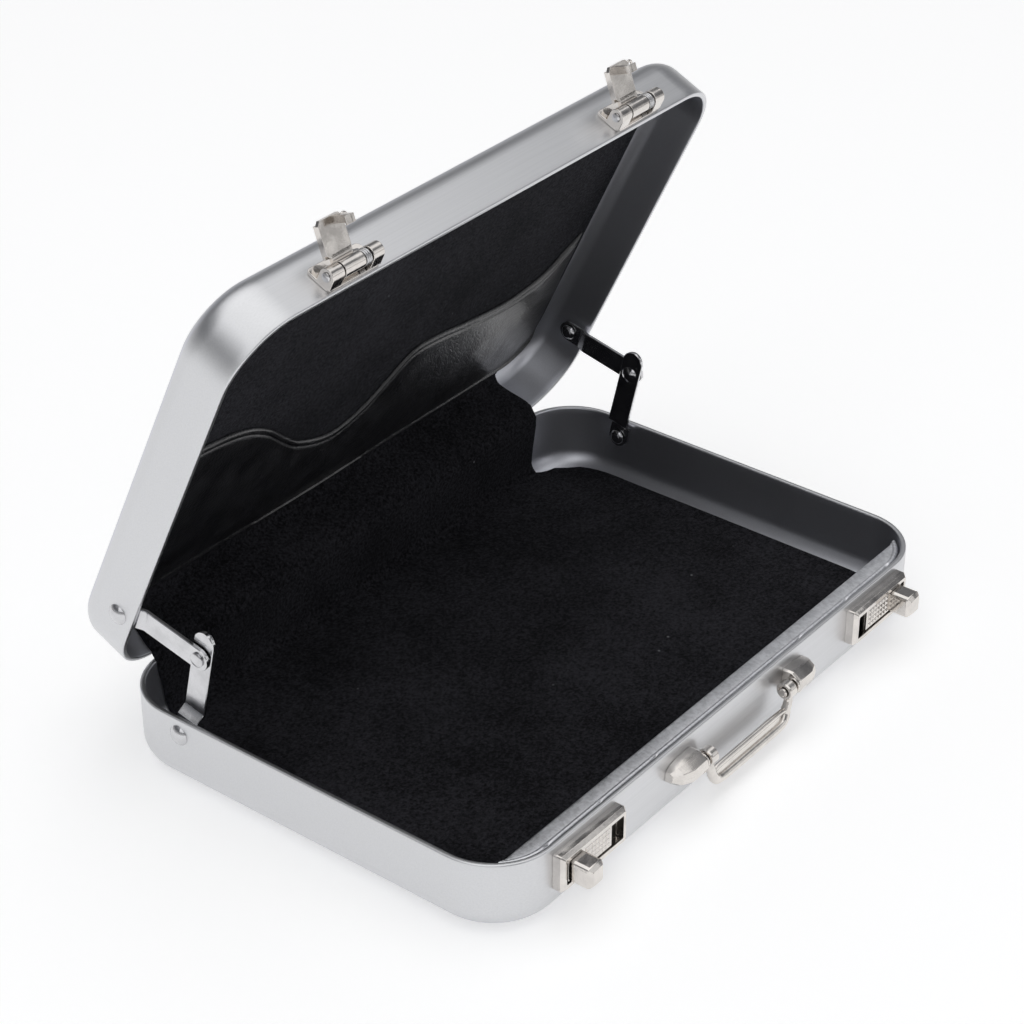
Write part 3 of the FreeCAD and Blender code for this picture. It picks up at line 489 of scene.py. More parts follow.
def rail():
    """The bead along the front ledge and the flat lip behind it."""
    inset = WALL + RAIL_GAP
    rows = []
    for drop in (1.6, 1.0):
        rows.append([Vector((x, y, RAIL_TOP - drop)) for x, y in rail_curve(inset)])
    for i in range(13):
        a = math.radians(150 * i / 12)
        off, down = RAIL_BEAD * (1 - math.cos(a)), RAIL_BEAD * (1 - math.sin(a))
        deep = math.sin(a) if a < math.pi / 2 else 1.0
        border = rail_curve(inset + off)
        rows.append([Vector((x, y, RAIL_TOP - max(down, nick(x) * deep))) for x, y in border])
    lip = [Vector((x, y, RAIL_TOP - RAIL_FLAT)) for x, y in rail_curve(inset + RAIL_BEAD * 2 + 0.06)]
    rows.append(lip)
    bend = 0.3
    for k in range(5):
        a = math.radians(90 * k / 4)
        y_line = RAIL_EDGE - bend * (1 - math.sin(a))
        z_line = RAIL_TOP - RAIL_FLAT - bend * (1 - math.cos(a))
        rows.append([Vector((p.x, max(p.y, y_line), z_line)) for p in lip])
    rows.append([Vector((p.x, max(p.y, RAIL_EDGE), 1.2)) for p in lip])
    rows.append([Vector((p.x, max(p.y, RAIL_EDGE) - 0.5, 1.2)) for p in lip])
    rows.append([Vector((p.x, max(p.y, RAIL_EDGE) - 0.5, RAIL_TOP - 1.6)) for p in lip])
    shape = loft(rows + rows[:1], closed=False, caps=(False, False))
    build("rail_ledge", shape, "base", RAIL, ["front_rail"], angle=40)


# ---------------------------------------------------------------- velvet

INSET_FLOOR = 1.35 + WALL
CLOTH = 0.6


def cloth_half_width(y):
    """Half the cloth's width over a flat panel, with corners that follow the case."""
    radius = CORNER - INSET_FLOOR
    cx, cy = HALF_X - CORNER, HALF_Y - CORNER
    beyond = abs(y) - cy
    if beyond <= 0:
        return cx + radius
    return cx + math.sqrt(max(radius**2 - beyond**2, 0.0))


def fillet_rise(x, y):
    """How far the inside has curved up from its flat panel at a place in the plan."""
    turn = EDGE - WALL
    dx, dy = abs(x) - (HALF_X - CORNER), abs(y) - (HALF_Y - CORNER)
    if dx > 0 and dy > 0:
        wall = CORNER - WALL - math.hypot(dx, dy)
    else:
        wall = min(INNER_X - abs(x), INNER_Y - abs(y))
    near = min(max(turn - wall, 0.0), turn)
    return turn - math.sqrt(turn**2 - near**2)


def bend_points(cy, cz, radius, start, end, steps):
    """Points along an arc in the YZ plane."""
    angles = [math.radians(start + (end - start) * i / steps) for i in range(steps + 1)]
    return [(cy + radius * math.cos(a), cz + radius * math.sin(a)) for a in angles]


def cloth_path():
    """Rows under the cloth, from the rail to the lid's front: y, z, half width, flat or not, pose."""
    rows = []
    floor, back = WALL + 0.06, INNER_Y - 0.12
    turn = EDGE - WALL
    front = RAIL_EDGE + 0.15
    knee = back - turn
    for i in range(41):
        y = front + (knee - front) * i / 40
        rows.append((y, floor, cloth_half_width(y), 1))
    neck = HALF_X - CORNER + 0.3
    for y, z in bend_points(knee, floor + turn, turn, 270, 360, 8)[1:]:
        rows.append((y, z, neck, 0))
    for i in range(1, 7):
        rows.append((back, floor + turn + (RIM - 0.3 - floor - turn) * i / 6, neck + 0.25 * i, 0))
    top = LID_TOP - WALL - 0.06
    lid_rows = []
    for i in range(6):
        z = LID_RIM + 0.3 + (top - turn - LID_RIM - 0.3) * i / 6
        lid_rows.append((back, z, neck + 0.25 * (6 - i), 0))
    for y, z in bend_points(knee, top - turn, turn, 0, 90, 8)[:-1]:
        lid_rows.append((y, z, neck, 0))
    far = -(HALF_Y - INSET_FLOOR) + 0.02
    for i in range(41):
        y = knee + (far - knee) * i / 40
        lid_rows.append((y, top, cloth_half_width(y), 1))
    return [(*row, CLOSED) for row in rows] + [(*row, LID) for row in lid_rows]


def velvet():
    """One cloth over both floors and the fold between them."""
    rows = cloth_path()
    line = [pose @ Vector((0, y, z)) for y, z, half, flat, pose in rows]
    columns = 80
    edge = 0.55
    top_rows, low_rows, halves = [], [], []
    for i, (y, z, half, flat, pose) in enumerate(rows):
        near = rows[max(i - 2, 0) : i + 3]
        half = sum(r[2] for r in near) / len(near)
        halves.append(half)
        along = (line[min(i + 1, len(line) - 1)] - line[max(i - 1, 0)]).normalized()
        out = Vector((0, -along.z, along.y))
        end_fade = min(1.0, min(i, len(rows) - 1 - i) + 0.25)
        top_row, low_row = [], []
        for k in range(columns + 1):
            t = -1 + 2 * k / columns
            x = half * math.copysign(1 - (1 - abs(t)) ** 1.35, t)
            rim = min(1.0, (half - abs(x)) / edge)
            lift = CLOTH * math.sqrt(max(1 - (1 - rim) ** 2, 0.0)) * end_fade
            wave = 0.05 * noise.noise(Vector((x * 0.11, i * 0.16, 3.0)))
            rise = fillet_rise(x, y) if flat else 0.0
            base = Vector((x, line[i].y, line[i].z)) + out * rise
            top_row.append(base + out * (lift + wave * rim + 0.02))
            low_row.append(base)
        top_rows.append(top_row)
        low_rows.append(low_row)
    shape = Shape()
    across = columns + 1
    count = len(rows) * across
    points = [p for row in top_rows for p in row] + [p for row in low_rows for p in row]
    faces = []
    for i in range(len(rows) - 1):
        for k in range(columns):
            a = i * across + k
            quad = [a, a + 1, a + across + 1, a + across]
            faces.append(quad)
            faces.append([count + q for q in reversed(quad)])
    for i in range(len(rows) - 1):
        for k in (0, columns):
            a, b = i * across + k, (i + 1) * across + k
            faces.append([a, b, count + b, count + a])
    for k in range(columns):
        for i in (0, len(rows) - 1):
            a = i * across + k
            faces.append([a, a + 1, count + a + 1, count + a])
    shape.add(points, faces)
    item = build("velvet_cloth", shape, None, VELVET, angle=70, blend=True)
    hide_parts("base_lining", "lid_lining")
    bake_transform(item)


# ---------------------------------------------------------------- pocket

# The pocket's free edge: place along the case, distance from the rear.
POCKET_EDGE = [
    (-48.0, 33.0),
    (-35.2, 32.3),
    (-27.5, 30.4),
    (-21.7, 26.9),
    (-16.7, 22.3),
    (-12.0, 18.5),
    (-4.0, 15.5),
    (2.0, 17.6),
    (5.8, 21.4),
    (9.5, 25.0),
    (15.0, 25.2),
    (22.0, 24.0),
    (31.5, 22.9),
    (37.0, 23.5),
    (41.4, 25.4),
    (44.3, 28.6),
    (48.0, 31.2),
]


# Steps from the pocket's hem to its rear seam, closer together over the welt there.
WELT = 0.035
POCKET_STEPS = [i / 30 for i in range(1, 28)] + [0.91 + 0.0075 * i for i in range(13)]


def edge_reach(x):
    """The free edge's distance from the rear at a place along the case, smoothed."""
    spots = POCKET_EDGE
    for i in range(len(spots) - 1):
        if spots[i][0] <= x <= spots[i + 1][0]:
            break
    x0, x1 = spots[i][0], spots[i + 1][0]
    before, after = spots[max(i - 1, 0)], spots[min(i + 2, len(spots) - 1)]
    t = (x - x0) / (x1 - x0)
    slope0 = (spots[i + 1][1] - before[1]) / (x1 - before[0])
    slope1 = (after[1] - spots[i][1]) / (after[0] - x0)
    span = x1 - x0
    h00, h10 = 2 * t**3 - 3 * t**2 + 1, t**3 - 2 * t**2 + t
    h01, h11 = -2 * t**3 + 3 * t**2, t**3 - t**2
    return h00 * spots[i][1] + h10 * span * slope0 + h01 * spots[i + 1][1] + h11 * span * slope1


def pocket():
    """The leatherette pocket on the lid's lining, with a turned and creased edge."""
    half = INNER_X - 2.7
    face = LID_TOP - WALL - 0.06 - CLOTH - 0.12
    rear = INNER_Y - 3.3
    radius = 6.4
    hem = (0.0, 0.12, 0.32, 0.6, 0.9, 1.05, 1.2, 1.35, 1.5, 1.8, 2.3)
    lift = (0.1, 0.34, 0.46, 0.5, 0.44, 0.3, 0.2, 0.3, 0.42, 0.5, 0.52)
    columns = 180
    tops, lows = [], []
    for k in range(columns + 1):
        x = -half + 2 * half * k / columns
        free = INNER_Y - edge_reach(x)
        side = half - abs(x)
        corner = radius - math.sqrt(max(radius**2 - max(radius - side, 0.0) ** 2, 0.0))
        back = rear - corner
        side_fade = min(1.0, side / 0.7)
        top, low = [], []
        for off, rise in zip(hem, lift):
            top.append((x, free + off, rise))
        for t in POCKET_STEPS:
            y = free + 2.3 + (back - free - 2.3) * t
            swell = 0.75 * math.sin(math.pi * min(t, 1.0)) * math.sin(math.pi * k / columns) ** 0.5
            crease = 0.16 * noise.noise(Vector((x * 0.22, y * 0.3, 1.7)))
            crease += 0.06 * noise.noise(Vector((x * 0.7, y * 0.9, 5.0)))
            close = min(1.0, (1 - t) / 0.03 + 0.15)
            welt = 0.34 * math.exp(-(((1 - t - WELT) / 0.014) ** 2))
            top.append((x, y, (0.52 + welt + swell + crease * math.sin(math.pi * t)) * close))
        for x_, y_, rise in top:
            low.append(Vector((x_, y_, face)))
        share = 0.25 + 0.75 * side_fade
        tops.append([Vector((a, b, face - max(c, 0.02) * share - 0.03)) for a, b, c in top])
        lows.append(low)
    across = len(tops[0])
    count = len(tops) * across
    points = [p for row in tops for p in row] + [p for row in lows for p in row]
    faces = []
    for i in range(columns):
        for k in range(across - 1):
            a = i * across + k
            quad = [a, a + 1, a + across + 1, a + across]
            faces.append(quad)
            faces.append([count + q for q in reversed(quad)])
        for k in (0, across - 1):
            a, b = i * across + k, (i + 1) * across + k
            faces.append([a, b, count + b, count + a])
    for k in range(across - 1):
        for i in (0, columns):
            a = i * across + k
            faces.append([a, a + 1, count + a + 1, count + a])
    shape = Shape().add(points, faces)
    item = build(
        "card_pocket_skin", shape, "lid", LEATHER, ["card_pocket"], LID, angle=60
    )


# ---------------------------------------------------------------- rivets and stays

ARM_WIDTH, ARM_SHEET, ARM_GAP = 3.4, 0.6, 0.2
SHANK = 0.7


def dome(radius, height, flange=0.12):
    """A rivet head's profile (radius, along), from its seat to its crown."""
    ball = (radius**2 + height**2) / (2 * height)
    start = math.asin(radius / ball)
    line = [(radius, 0.0), (radius, flange * 0.6), (radius - 0.04, flange)]
    for i in range(1, 9):
        a = start * (1 - i / 8)
        rise = flange + (height - flange) * (math.cos(a) - math.cos(start)) / (1 - math.cos(start))
        line.append((max(ball * math.sin(a) * (radius - 0.04) / radius, 0.01), rise))
    return line


def pivot_of(joint):
    """A joint's place at rest, in millimetres."""
    return Vector(JOINTS[joint]["pos_m"]) / MM


def elbow(name):
    """The middle of a stay's elbow rivet."""
    low, high = box_mm(f"elbow_rivet_{name}")
    return (low + high) / 2


def wall_rivet(label, node, body, side, spot):
    """A domed head outside the wall, a shank through it and a small head over the arm."""
    y, z = spot.yz
    shape = Shape()
    shape.merge(lathe(dome(1.5, 0.75), (HALF_X * side, y, z), "X", 48, side))
    shape.merge(lathe([(SHANK, 0.0), (SHANK, 2.8)], (HALF_X * side + 0.3 * side, y, z), "X", 24, -side))
    inner = box_mm(node)[0].x if side > 0 else box_mm(node)[1].x
    head = [(0.01, -0.44), (0.5, -0.43), (0.9, -0.34), (1.12, -0.2), (1.2, -0.06), (1.2, 0.0)]
    seat = abs(inner) + 0.45
    shape.merge(lathe(head, (seat * side, y, z), "X", 40, side))
    build(label, shape, body, STEEL, [node])


def arm(label, node, side, start, end, tail, near, far):
    """A flat strip from one pivot to the other, joggled away from the wall."""
    width, thick, crown = ARM_WIDTH, ARM_SHEET, 0.1
    along = Vector((0, end.y - start.y, end.z - start.z))
    length = along.length
    along.normalize()
    across = Vector((0, -along.z, along.y))
    stations = [-width / 2 + width / 2 * (1 - math.cos(math.radians(90 * i / 10))) for i in range(11)]
    stations += [1.2, 1.9, 2.2, 2.6, 3.0, 3.3, 3.6, 4.5]
    tip = length + tail
    steps = [tip - width / 2 * (1 - math.sin(math.radians(90 * i / 10))) for i in range(11)]
    stations += [5.5, (5.5 + tip - width / 2) / 2] + steps
    rings = []
    for s in stations:
        if s < 0:
            half = math.sqrt(max((width / 2) ** 2 - s**2, 0.0))
        elif s > tip - width / 2:
            half = math.sqrt(max((width / 2) ** 2 - (s - tip + width / 2) ** 2, 0.0))
        else:
            half = width / 2
        half = max(half, 0.02)
        t = min(max((s - 2.0) / 1.4, 0.0), 1.0)
        t = t * t * (3 - 2 * t)
        outer = near + (far - near) * t
        outline = [(-half, crown), (-half + crown, 0.0), (half - crown, 0.0), (half, crown)]
        outline += [(half, thick - crown), (half - crown, thick)]
        outline += [(-half + crown, thick), (-half, thick - crown)]
        if half < 0.3:
            outline = [(c * half / 0.3 if abs(c) < half else math.copysign(half, c), d) for c, d in outline]
        ring = []
        for c, d in outline:
            spot = Vector((0, start.y, start.z)) + along * s + across * c
            ring.append(Vector(((outer - d) * side, spot.y, spot.z)))
        rings.append(ring)
    build(label, loft(rings), node, STEEL, [node], angle=28)


def stays():
    """Two arms a side, which meet at the elbow's rivet, and a rivet through each wall."""
    near = INNER_X - 0.4
    upper_far = near - 0.5
    lower_far = upper_far - ARM_SHEET - ARM_GAP
    for name, side in SIDES.items():
        base_pivot = pivot_of(f"stay_lower_{name}_pivot")
        lid_pivot = pivot_of(f"stay_upper_{name}_pivot")
        knee = elbow(name)
        arm(f"lower_arm_{name}", f"stay_lower_{name}", side, base_pivot, knee, 4.0, near, lower_far)
        arm(f"upper_arm_{name}", f"stay_upper_{name}", side, lid_pivot, knee, 1.7, near, upper_far)
        wall_rivet(f"base_wall_rivet_{name}", f"base_rivet_{name}", "base", side, base_pivot)
        wall_rivet(f"lid_wall_rivet_{name}", f"lid_rivet_{name}", "lid", side, lid_pivot)
        shape = Shape()
        inside = lower_far - ARM_SHEET
        head = dome(1.3, 0.55)
        shape.merge(lathe(head, (inside * side, knee.y, knee.z), "X", 44, -side))
        shape.merge(lathe([(SHANK, 0.0), (SHANK, 1.5)], (inside * side, knee.y, knee.z), "X", 24, side))
        tail = [(1.05, 0.0), (1.05, 0.2), (0.9, 0.32), (0.01, 0.4)]
        shape.merge(lathe(tail, ((upper_far + 0.04) * side, knee.y, knee.z), "X", 36, side))
        rivets = [f"elbow_rivet_{name}"]
        build(f"elbow_pin_{name}", shape, f"stay_lower_{name}", STEEL, rivets)


# ---------------------------------------------------------------- latches

LATCH_X, LATCH_Z = 34.0, RIM - 3.8
LATCH_HALF, LATCH_TALL, LATCH_DEEP = 6.75, 2.8, 1.8
WINDOW_HALF, WINDOW_TALL = 5.95, 1.8
SLIDER_LENGTH, SLIDER_END = 9.1, 5.45
KNOB_WIDTH, KNOB_TALL, KNOB_DEPTH, KNOB_CHAMFER = 3.2, 1.7, 5.0, 0.55
KNURL_PITCH, KNURL_COLUMNS, KNURL_ROWS = 0.74, 7, 4


def rectangle(x0, x1, z0, z1):
    """A plain rectangle's outline."""
    return [(x0, z0), (x1, z0), (x1, z1), (x0, z1)]


def layered(layers):
    """A loft through XZ outlines, each at its own depth."""
    return loft([[Vector((x, y, z)) for x, z in outline] for outline, y in layers])


def latch(name, side):
    """Frame, a dark plate of painted shadow behind its window, sliding plate with its knurled grip, and
    knob.
    """
    wall = -HALF_Y
    cx = LATCH_X * side

    def outline_of(half, tall, radius):
        return rounded_rectangle(cx - half, cx + half, LATCH_Z - tall, LATCH_Z + tall, radius)

    outer = outline_of(LATCH_HALF, LATCH_TALL, 0.35)
    ridge = outline_of(LATCH_HALF - 0.4, LATCH_TALL - 0.4, 0.3)
    hole = outline_of(WINDOW_HALF, WINDOW_TALL, 0.25)
    inside = outline_of(WINDOW_HALF + 0.3, WINDOW_TALL + 0.5, 0.25)
    layers = [
        (outer, wall),
        (outer, wall - LATCH_DEEP + 0.55),
        (ridge, wall - LATCH_DEEP + 0.06),
        (ridge, wall - LATCH_DEEP),
        (hole, wall - LATCH_DEEP + 0.05),
        (hole, wall - LATCH_DEEP + 0.4),
        (inside, wall - LATCH_DEEP + 0.4),
        (inside, wall - 0.35),
    ]
    shape = layered(layers)
    plates = [f"latch_plate_{name}"]
    build(f"latch_frame_{name}", shape, "base", NICKEL, plates, bevel=0.07, angle=30)
    # Painted shadow: a thin near-black plate behind the window stands in for the shade inside the latch's
    # hole.
    painted_shadow_plate = prism(rectangle(cx - 6.1, cx + 6.1, LATCH_Z - 2.2, LATCH_Z + 2.2), wall - 0.34, wall - 0.4)
    build(f"latch_painted_shadow_{name}", painted_shadow_plate, "base", SHADOW)
    slide = Shape()
    inner_x = SLIDER_END - SLIDER_LENGTH
    x0, x1 = sorted((cx + inner_x * side, cx + SLIDER_END * side))
    slide.merge(prism(rectangle(x0, x1, LATCH_Z - 2.1, LATCH_Z + 2.1), wall - 0.9, wall - 1.25))
    slide.merge(prism(rectangle(x0, x1, LATCH_Z - 1.6, LATCH_Z + 1.6), wall - 1.2, wall - 1.55))
    slider = f"latch_slider_{name}"
    build(f"slider_plate_{name}", slide, slider, NICKEL, [slider], bevel=0.06)
    knurl = Shape()
    start, foot, point = inner_x + 0.45, KNURL_PITCH * 0.47, 0.07
    for i in range(KNURL_COLUMNS):
        for k in range(KNURL_ROWS):
            x = cx + (start + KNURL_PITCH * (i + 0.5)) * side
            z = LATCH_Z + (k - (KNURL_ROWS - 1) / 2) * KNURL_PITCH
            low = rectangle(x - foot, x + foot, z - foot, z + foot)
            tip = rectangle(x - point, x + point, z - point, z + point)
            knurl.merge(layered([(low, wall - 1.5), (low, wall - 1.57), (tip, wall - 1.76)]))
    build(f"slider_knurl_{name}", knurl, slider, NICKEL, angle=20)
    left, right = sorted((cx + (SLIDER_END - KNOB_WIDTH) * side, cx + SLIDER_END * side))
    layers = []
    for depth, inset in ((1.5, 0.0), (KNOB_DEPTH - KNOB_CHAMFER, 0.0), (KNOB_DEPTH, KNOB_CHAMFER)):
        low, high = LATCH_Z - KNOB_TALL + inset, LATCH_Z + KNOB_TALL - inset
        outline = rounded_rectangle(left + inset, right - inset, low, high, 0.6 - inset * 0.5, 2)
        layers.append((outline, wall - depth))
    build(f"slider_knob_{name}", layered(layers), slider, NICKEL, bevel=0.14, angle=20)


# ---------------------------------------------------------------- hasps

HASP_X = JOINTS["hasp_right_pivot"]["pos_m"][0] / MM
HASP_Z = LID_RIM + 1.5
HASP_REACH = HALF_Y + 1.9
BARREL, PIN = 1.15, 0.45
# Limits across a hasp, from its centre; the stem and tab are mirrored, the rest is not.
EARS = ((-4.8, -2.6), (2.8, 4.8))
KNUCKLE = (-2.4, 1.3)
FLAP = (-3.1, 1.3)
STEM = (-1.3, -0.6)
TAB = (-0.9, 0.3)


def across_x(limits, side):
    """X limits on the case from two distances to the right of a hasp's centre."""
    return HASP_X * side + limits[0], HASP_X * side + limits[1]


def mirrored_x(limits, side):
    """X limits that are mirrored from the right-hand hasp to the left-hand one."""
    return sorted((HASP_X + limit) * side for limit in limits)


def hasp(name, side):
    """Bracket, axle and coil spring on the lid, and the flap that swings on them."""
    mount = Shape()
    x0, x1 = across_x((EARS[0][0], EARS[1][1]), side)
    foot, top = HASP_Z - 1.2, HASP_Z + 3.0
    plate = rounded_rectangle(x0, x1, foot, top, 0.7, 5)
    mount.merge(prism(plate, -HALF_Y, -HALF_Y - 0.5))
    for limits in EARS:
        a, b = across_x(limits, side)
        outline = []
        for i in range(25):
            t = math.radians(90 + 180 * i / 24)
            outline.append((-HASP_REACH + BARREL * math.cos(t), HASP_Z + BARREL * math.sin(t)))
        outline += [(-HALF_Y - 0.3, HASP_Z - BARREL), (-HALF_Y - 0.3, HASP_Z + BARREL)]
        mount.merge(prism(outline, a, b, "X"))
    mounts = [f"hasp_mount_{name}"]
    build(f"hasp_bracket_{name}", mount, "lid", NICKEL, mounts, LID, bevel=0.1, angle=32)
    pin = Shape()
    tip = [(0.01, -5.15), (0.4, -5.1), (0.62, -4.98), (0.65, -4.84), (PIN, -4.82)]
    tip += [(PIN, 4.82), (0.65, 4.84), (0.62, 4.98), (0.4, 5.1), (0.01, 5.15)]
    pin.merge(lathe(tip, (HASP_X * side, -HASP_REACH, HASP_Z), "X", 32))
    build(f"hasp_axle_{name}", pin, "lid", STEEL, [f"hasp_pin_{name}"], LID)
    coil = []
    wire, bend, turns, first, last = 0.16, 0.98, 3.25, 1.5, 2.6
    for i in range(int(turns * 20) + 1):
        a = 2 * math.pi * i / 20
        x = HASP_X * side + first + (last - first) * i / (turns * 20)
        coil.append((x, -HASP_REACH + bend * math.cos(a), HASP_Z + bend * math.sin(a)))
    end = Vector(coil[-1])
    coil.append(end + Vector((0, 0.3, 0.5)))
    coil.append((end.x, -HALF_Y - 0.62, HASP_Z + 2.2))
    shape = tube(coil, wire, 10)
    build(f"hasp_coil_{name}", shape, "lid", SPRING, [f"hasp_spring_{name}"], LID)
    flap(name, side)


def flap(name, side):
    """The swinging hasp, drawn shut and then turned about its pin."""
    shape = Shape()
    x0, x1 = across_x(KNUCKLE, side)
    ring = []
    sheet = -HASP_REACH - BARREL - 0.05
    for i in range(31):
        a = math.radians(180 + 330 * i / 30)
        ring.append((-HASP_REACH + BARREL * math.cos(a), HASP_Z + BARREL * math.sin(a)))
    for i in range(31):
        a = math.radians(150 - 330 * i / 30 + 360)
        ring.append((-HASP_REACH + (PIN + 0.1) * math.cos(a), HASP_Z + (PIN + 0.1) * math.sin(a)))
    shape.merge(prism(ring, x0, x1, "X"))
    neck = [(sheet, HASP_Z - 2.0), (sheet, HASP_Z - 0.2), (sheet + 0.1, HASP_Z + 0.1)]
    neck += [(sheet + 0.62, HASP_Z + 0.0), (sheet + 0.6, HASP_Z - 0.5), (sheet + 0.6, HASP_Z - 2.0)]
    shape.merge(prism(neck, x0, x1, "X"))
    wide0, wide1 = across_x(FLAP, side)
    low, high = HASP_Z - 6.4, HASP_Z - 1.5
    plate = [(wide0 + 0.5, low), (wide1 - 0.5, low), (wide1, low + 0.6), (wide1, high - 0.5)]
    plate += [(wide1 - 0.5, high), (wide0 + 0.5, high), (wide0, high - 0.5), (wide0, low + 0.6)]
    shape.merge(prism(plate, sheet, sheet + 0.6))
    rib0, rib1 = across_x((-1.9, 0.2), side)
    shape.merge(prism(rectangle(rib0, rib1, low + 1.1, high - 0.9), sheet - 0.22, sheet + 0.1))
    fold0, fold1 = across_x((FLAP[0], FLAP[0] + 0.5), side)
    shape.merge(prism(rectangle(fold0, fold1, low + 0.5, high), sheet - 0.35, sheet + 0.1))
    spots = ((1.1, 0.3, -5.6), (1.7, 0.3, -5.9), (2.2, 0.25, -5.7), (2.25, 0.2, -5.2), (1.95, 0.15, -4.95))
    hook = [(HASP_X * side + x, sheet + y, HASP_Z + z) for x, y, z in spots]
    shape.merge(tube(eased(hook, 5), 0.22, 10))
    stem_y = -HALF_Y - 0.45
    s0, s1 = mirrored_x(STEM, side)
    shape.merge(prism(rectangle(s0, s1, HASP_Z - 6.0, HASP_Z - 4.9), sheet + 0.5, stem_y))
    t0, t1 = mirrored_x(TAB, side)
    shape.merge(prism(rectangle(t0, t1, HASP_Z - 6.0, HASP_Z - 4.9), stem_y - 0.3, stem_y))
    turn = -math.radians(JOINTS[f"hasp_{name}_pivot"]["range_deg"][0])
    spot = Vector((0, -HASP_REACH, HASP_Z))
    swing = Matrix.Translation(spot) @ Matrix.Rotation(-turn, 4, "X") @ Matrix.Translation(-spot)
    body = f"hasp_{name}"
    pose = LID @ swing
    build(f"hasp_flap_{name}", shape, body, NICKEL, [body], pose, bevel=0.1, angle=30)


# ---------------------------------------------------------------- handle

HANDLE_Y, HANDLE_Z = pivot_of("handle_pivot").yz
BAIL_TILT = 6.0
GRIP_HALF, GRIP_LOW, GRIP_TALL = 9.0, -4.8, 2.1


def post(name, side):
    """A faceted bullet against the front wall, with a stub pin towards the middle."""
    face = 10.9
    section = [(0, -1.75), (1.7, -1.75), (2.85, -1.15), (3.3, -0.1), (2.95, 0.95), (1.75, 1.75), (0, 1.75)]
    stations = [(0.0, 0.93, 0.9), (0.35, 1.0, 1.0), (3.1, 1.0, 0.98), (4.7, 0.78, 0.8), (5.7, 0.4, 0.42)]
    rings = []
    for along, out, tall in stations:
        x = (face + along) * side
        rings.append([Vector((x, -HALF_Y - y * out, HANDLE_Z + z * tall)) for y, z in section])
    shape = loft(rings)
    stub = [(1.15, 0.0), (1.15, 0.3), (0.65, 0.36), (0.65, 2.6), (0.5, 2.72), (0.01, 2.74)]
    shape.merge(lathe(stub, (face * side, HANDLE_Y, HANDLE_Z), "X", 28, -side))
    posts = [f"handle_post_{name}"]
    build(f"handle_bullet_{name}", shape, "base", NICKEL, posts, bevel=0.26, angle=24)


def eased(path, count):
    """A Catmull-Rom line through a few points."""
    path = [Vector(p) for p in path]
    line = []
    for i in range(len(path) - 1):
        p0, p1, p2, p3 = path[max(i - 1, 0)], path[i], path[i + 1], path[min(i + 2, len(path) - 1)]
        for k in range(count):
            t = k / count
            square, cube = 2 * p0 - 5 * p1 + 4 * p2 - p3, 3 * p1 - p0 - 3 * p2 + p3
            line.append(0.5 * (2 * p1 + (p2 - p0) * t + square * t * t + cube * t**3))
    return line + [path[-1]]


def bail():
    """Two eyes, two curved necks and a grip with a raised, rounded border."""
    tilt = Matrix.Translation((0, HANDLE_Y, HANDLE_Z)) @ Matrix.Rotation(-math.radians(BAIL_TILT), 4, "X")
    shape = Shape()
    for side in (-1, 1):
        ring = [(1.12, 0.0), (1.3, 0.18), (1.3, 1.32), (1.12, 1.5), (0.82, 1.5), (0.82, 0.0), (1.12, 0.0)]
        eye = lathe(ring, (8.6 * side, 0, 0), "X", 36, side)
        eye.faces = eye.faces[:-2]
        shape.merge(eye)
    low, high, half = GRIP_LOW, GRIP_LOW + GRIP_TALL, GRIP_HALF
    neck = [(half + 0.3, -0.05, -0.9), (half + 0.4, -0.12, -1.5), (half + 0.2, -0.1, -2.2)]
    neck += [(half - 0.1, 0, -2.9), (half - 0.3, 0, -3.6), (half - 1.0, 0, low + 0.35)]
    neck += [(half - 2.4, 0, low + 0.04), (3.0, 0, low)]
    route = [(-x, y, z) for x, y, z in neck] + [(0, 0, low)] + neck[::-1]
    line = eased(route, 7)
    sizes = [0.6 + 0.14 * min(max((-point.z - 0.9) / 3.0, 0.0), 1.0) for point in line]
    shape.merge(tube(line, sizes, 18))
    side_run = [(half - 0.15, 0, high - 0.6), (half - 0.8, 0, high - 0.15), (half - 2.5, 0, high)]
    upper = [(-x, y, z) for x, y, z in side_run] + [(0, 0, high)] + side_run[::-1]
    shape.merge(tube(eased(upper, 7), 0.42, 14))
    plate = rounded_rectangle(0.3 - half, half - 0.3, low - 0.05, high + 0.05, 1.0, 8)
    shape.merge(prism(plate, -0.12, 0.42))
    turned = Shape().merge(shape, tilt)
    build("handle_loop", turned, "handle", NICKEL, ["handle_bail"], angle=40)


# ---------------------------------------------------------------- assembly

shells()
rail()
velvet()
pocket()
stays()
for name, side in SIDES.items():
    latch(name, side)
    hasp(name, side)
    post(name, side)
bail()

KEPT = {
    "latch_rivets": NICKEL,
    "handle_rivets": NICKEL,
    "hasp_rivets": NICKEL,
    "latch_spring_left": SPRING,
    "latch_spring_right": SPRING,
}
for node, material in KEPT.items():
    mesh = frame["nodes"][node].data
    mesh.materials.clear()
    mesh.materials.append(material)


# ---------------------------------------------------------------- floor, light and camera


def stage():
    """The pale floor."""
    bpy.ops.mesh.primitive_plane_add(size=4.0, location=(0, 0, -0.0001))
    floor = bpy.context.object
    floor.name = "floor"
    material, tree, shader = finish("pale_floor", (0.9, 0.9, 0.9), 0.0, 0.75)
    shader.inputs["Emission Color"].default_value = (1, 1, 1, 1)
    shader.inputs["Emission Strength"].default_value = 0.36
    floor.data.materials.append(material)


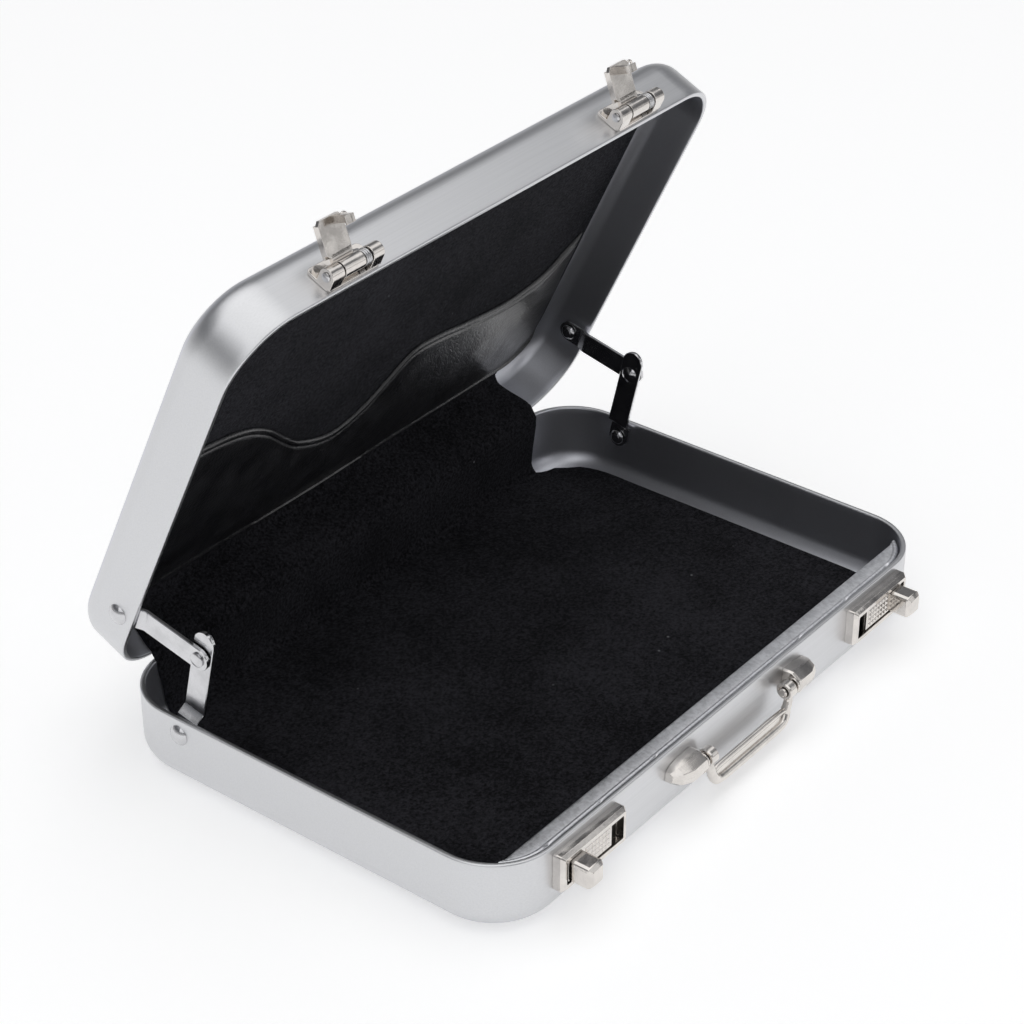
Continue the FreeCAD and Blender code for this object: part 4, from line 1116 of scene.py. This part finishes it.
def lamp(name, place, target, size, power, colour=(1, 1, 1)):
    """One softbox that faces its target."""
    data = bpy.data.lights.new(name, "AREA")
    data.shape = "RECTANGLE"
    data.size, data.size_y = size
    data.energy = power
    data.color = colour
    item = bpy.data.objects.new(name, data)
    item.location = place
    item.rotation_euler = (Vector(target) - Vector(place)).to_track_quat("-Z", "Y").to_euler()
    bpy.context.scene.collection.objects.link(item)


def lights():
    """A room light at the horizon, darkest 17 to 30 degrees up and white overhead; three softboxes."""
    world = bpy.data.worlds.new("studio")
    world.use_nodes = True
    tree = world.node_tree
    where = tree.nodes.new("ShaderNodeTexCoord")
    split = tree.nodes.new("ShaderNodeSeparateXYZ")
    tree.links.new(where.outputs["Generated"], split.inputs["Vector"])
    glow = tint(
        tree,
        split.outputs["Z"],
        [
            (0.0, (0.8, 0.8, 0.8)),
            (0.16, (0.75, 0.75, 0.76)),
            (0.3, (0.22, 0.225, 0.24)),
            (0.5, (0.22, 0.225, 0.24)),
            (0.64, (0.42, 0.43, 0.45)),
            (0.78, (0.6, 0.6, 0.61)),
            (0.94, (1, 1, 1)),
        ],
    )
    background = tree.nodes["Background"]
    tree.links.new(glow, background.inputs["Color"])
    background.inputs["Strength"].default_value = 0.62
    scene = bpy.context.scene
    scene.world = world
    scene.view_settings.view_transform = "Standard"
    middle = (0, 0, 0.03)
    lamp("overhead", (0.1, 0.1, 0.95), middle, (1.5, 1.2), 3.6)
    lamp("key", (-0.7, -0.25, 0.65), middle, (0.8, 0.7), 1.5)
    lamp("fill", (0.35, -0.85, 0.4), middle, (0.9, 0.5), 0.9)


def camera():
    """The photograph's viewing angle."""
    data = bpy.data.cameras.new("camera")
    data.lens = 97
    data.sensor_width = 36
    data.clip_start = 0.01
    item = bpy.data.objects.new("camera", data)
    item.location = Vector((-253.3, -193.6, 228.0)) * MM
    target = Vector((-2.5, 2.5, 27.0)) * MM
    item.rotation_euler = (target - item.location).to_track_quat("-Z", "Y").to_euler()
    bpy.context.scene.collection.objects.link(item)
    bpy.context.scene.camera = item


stage()
lights()
camera()
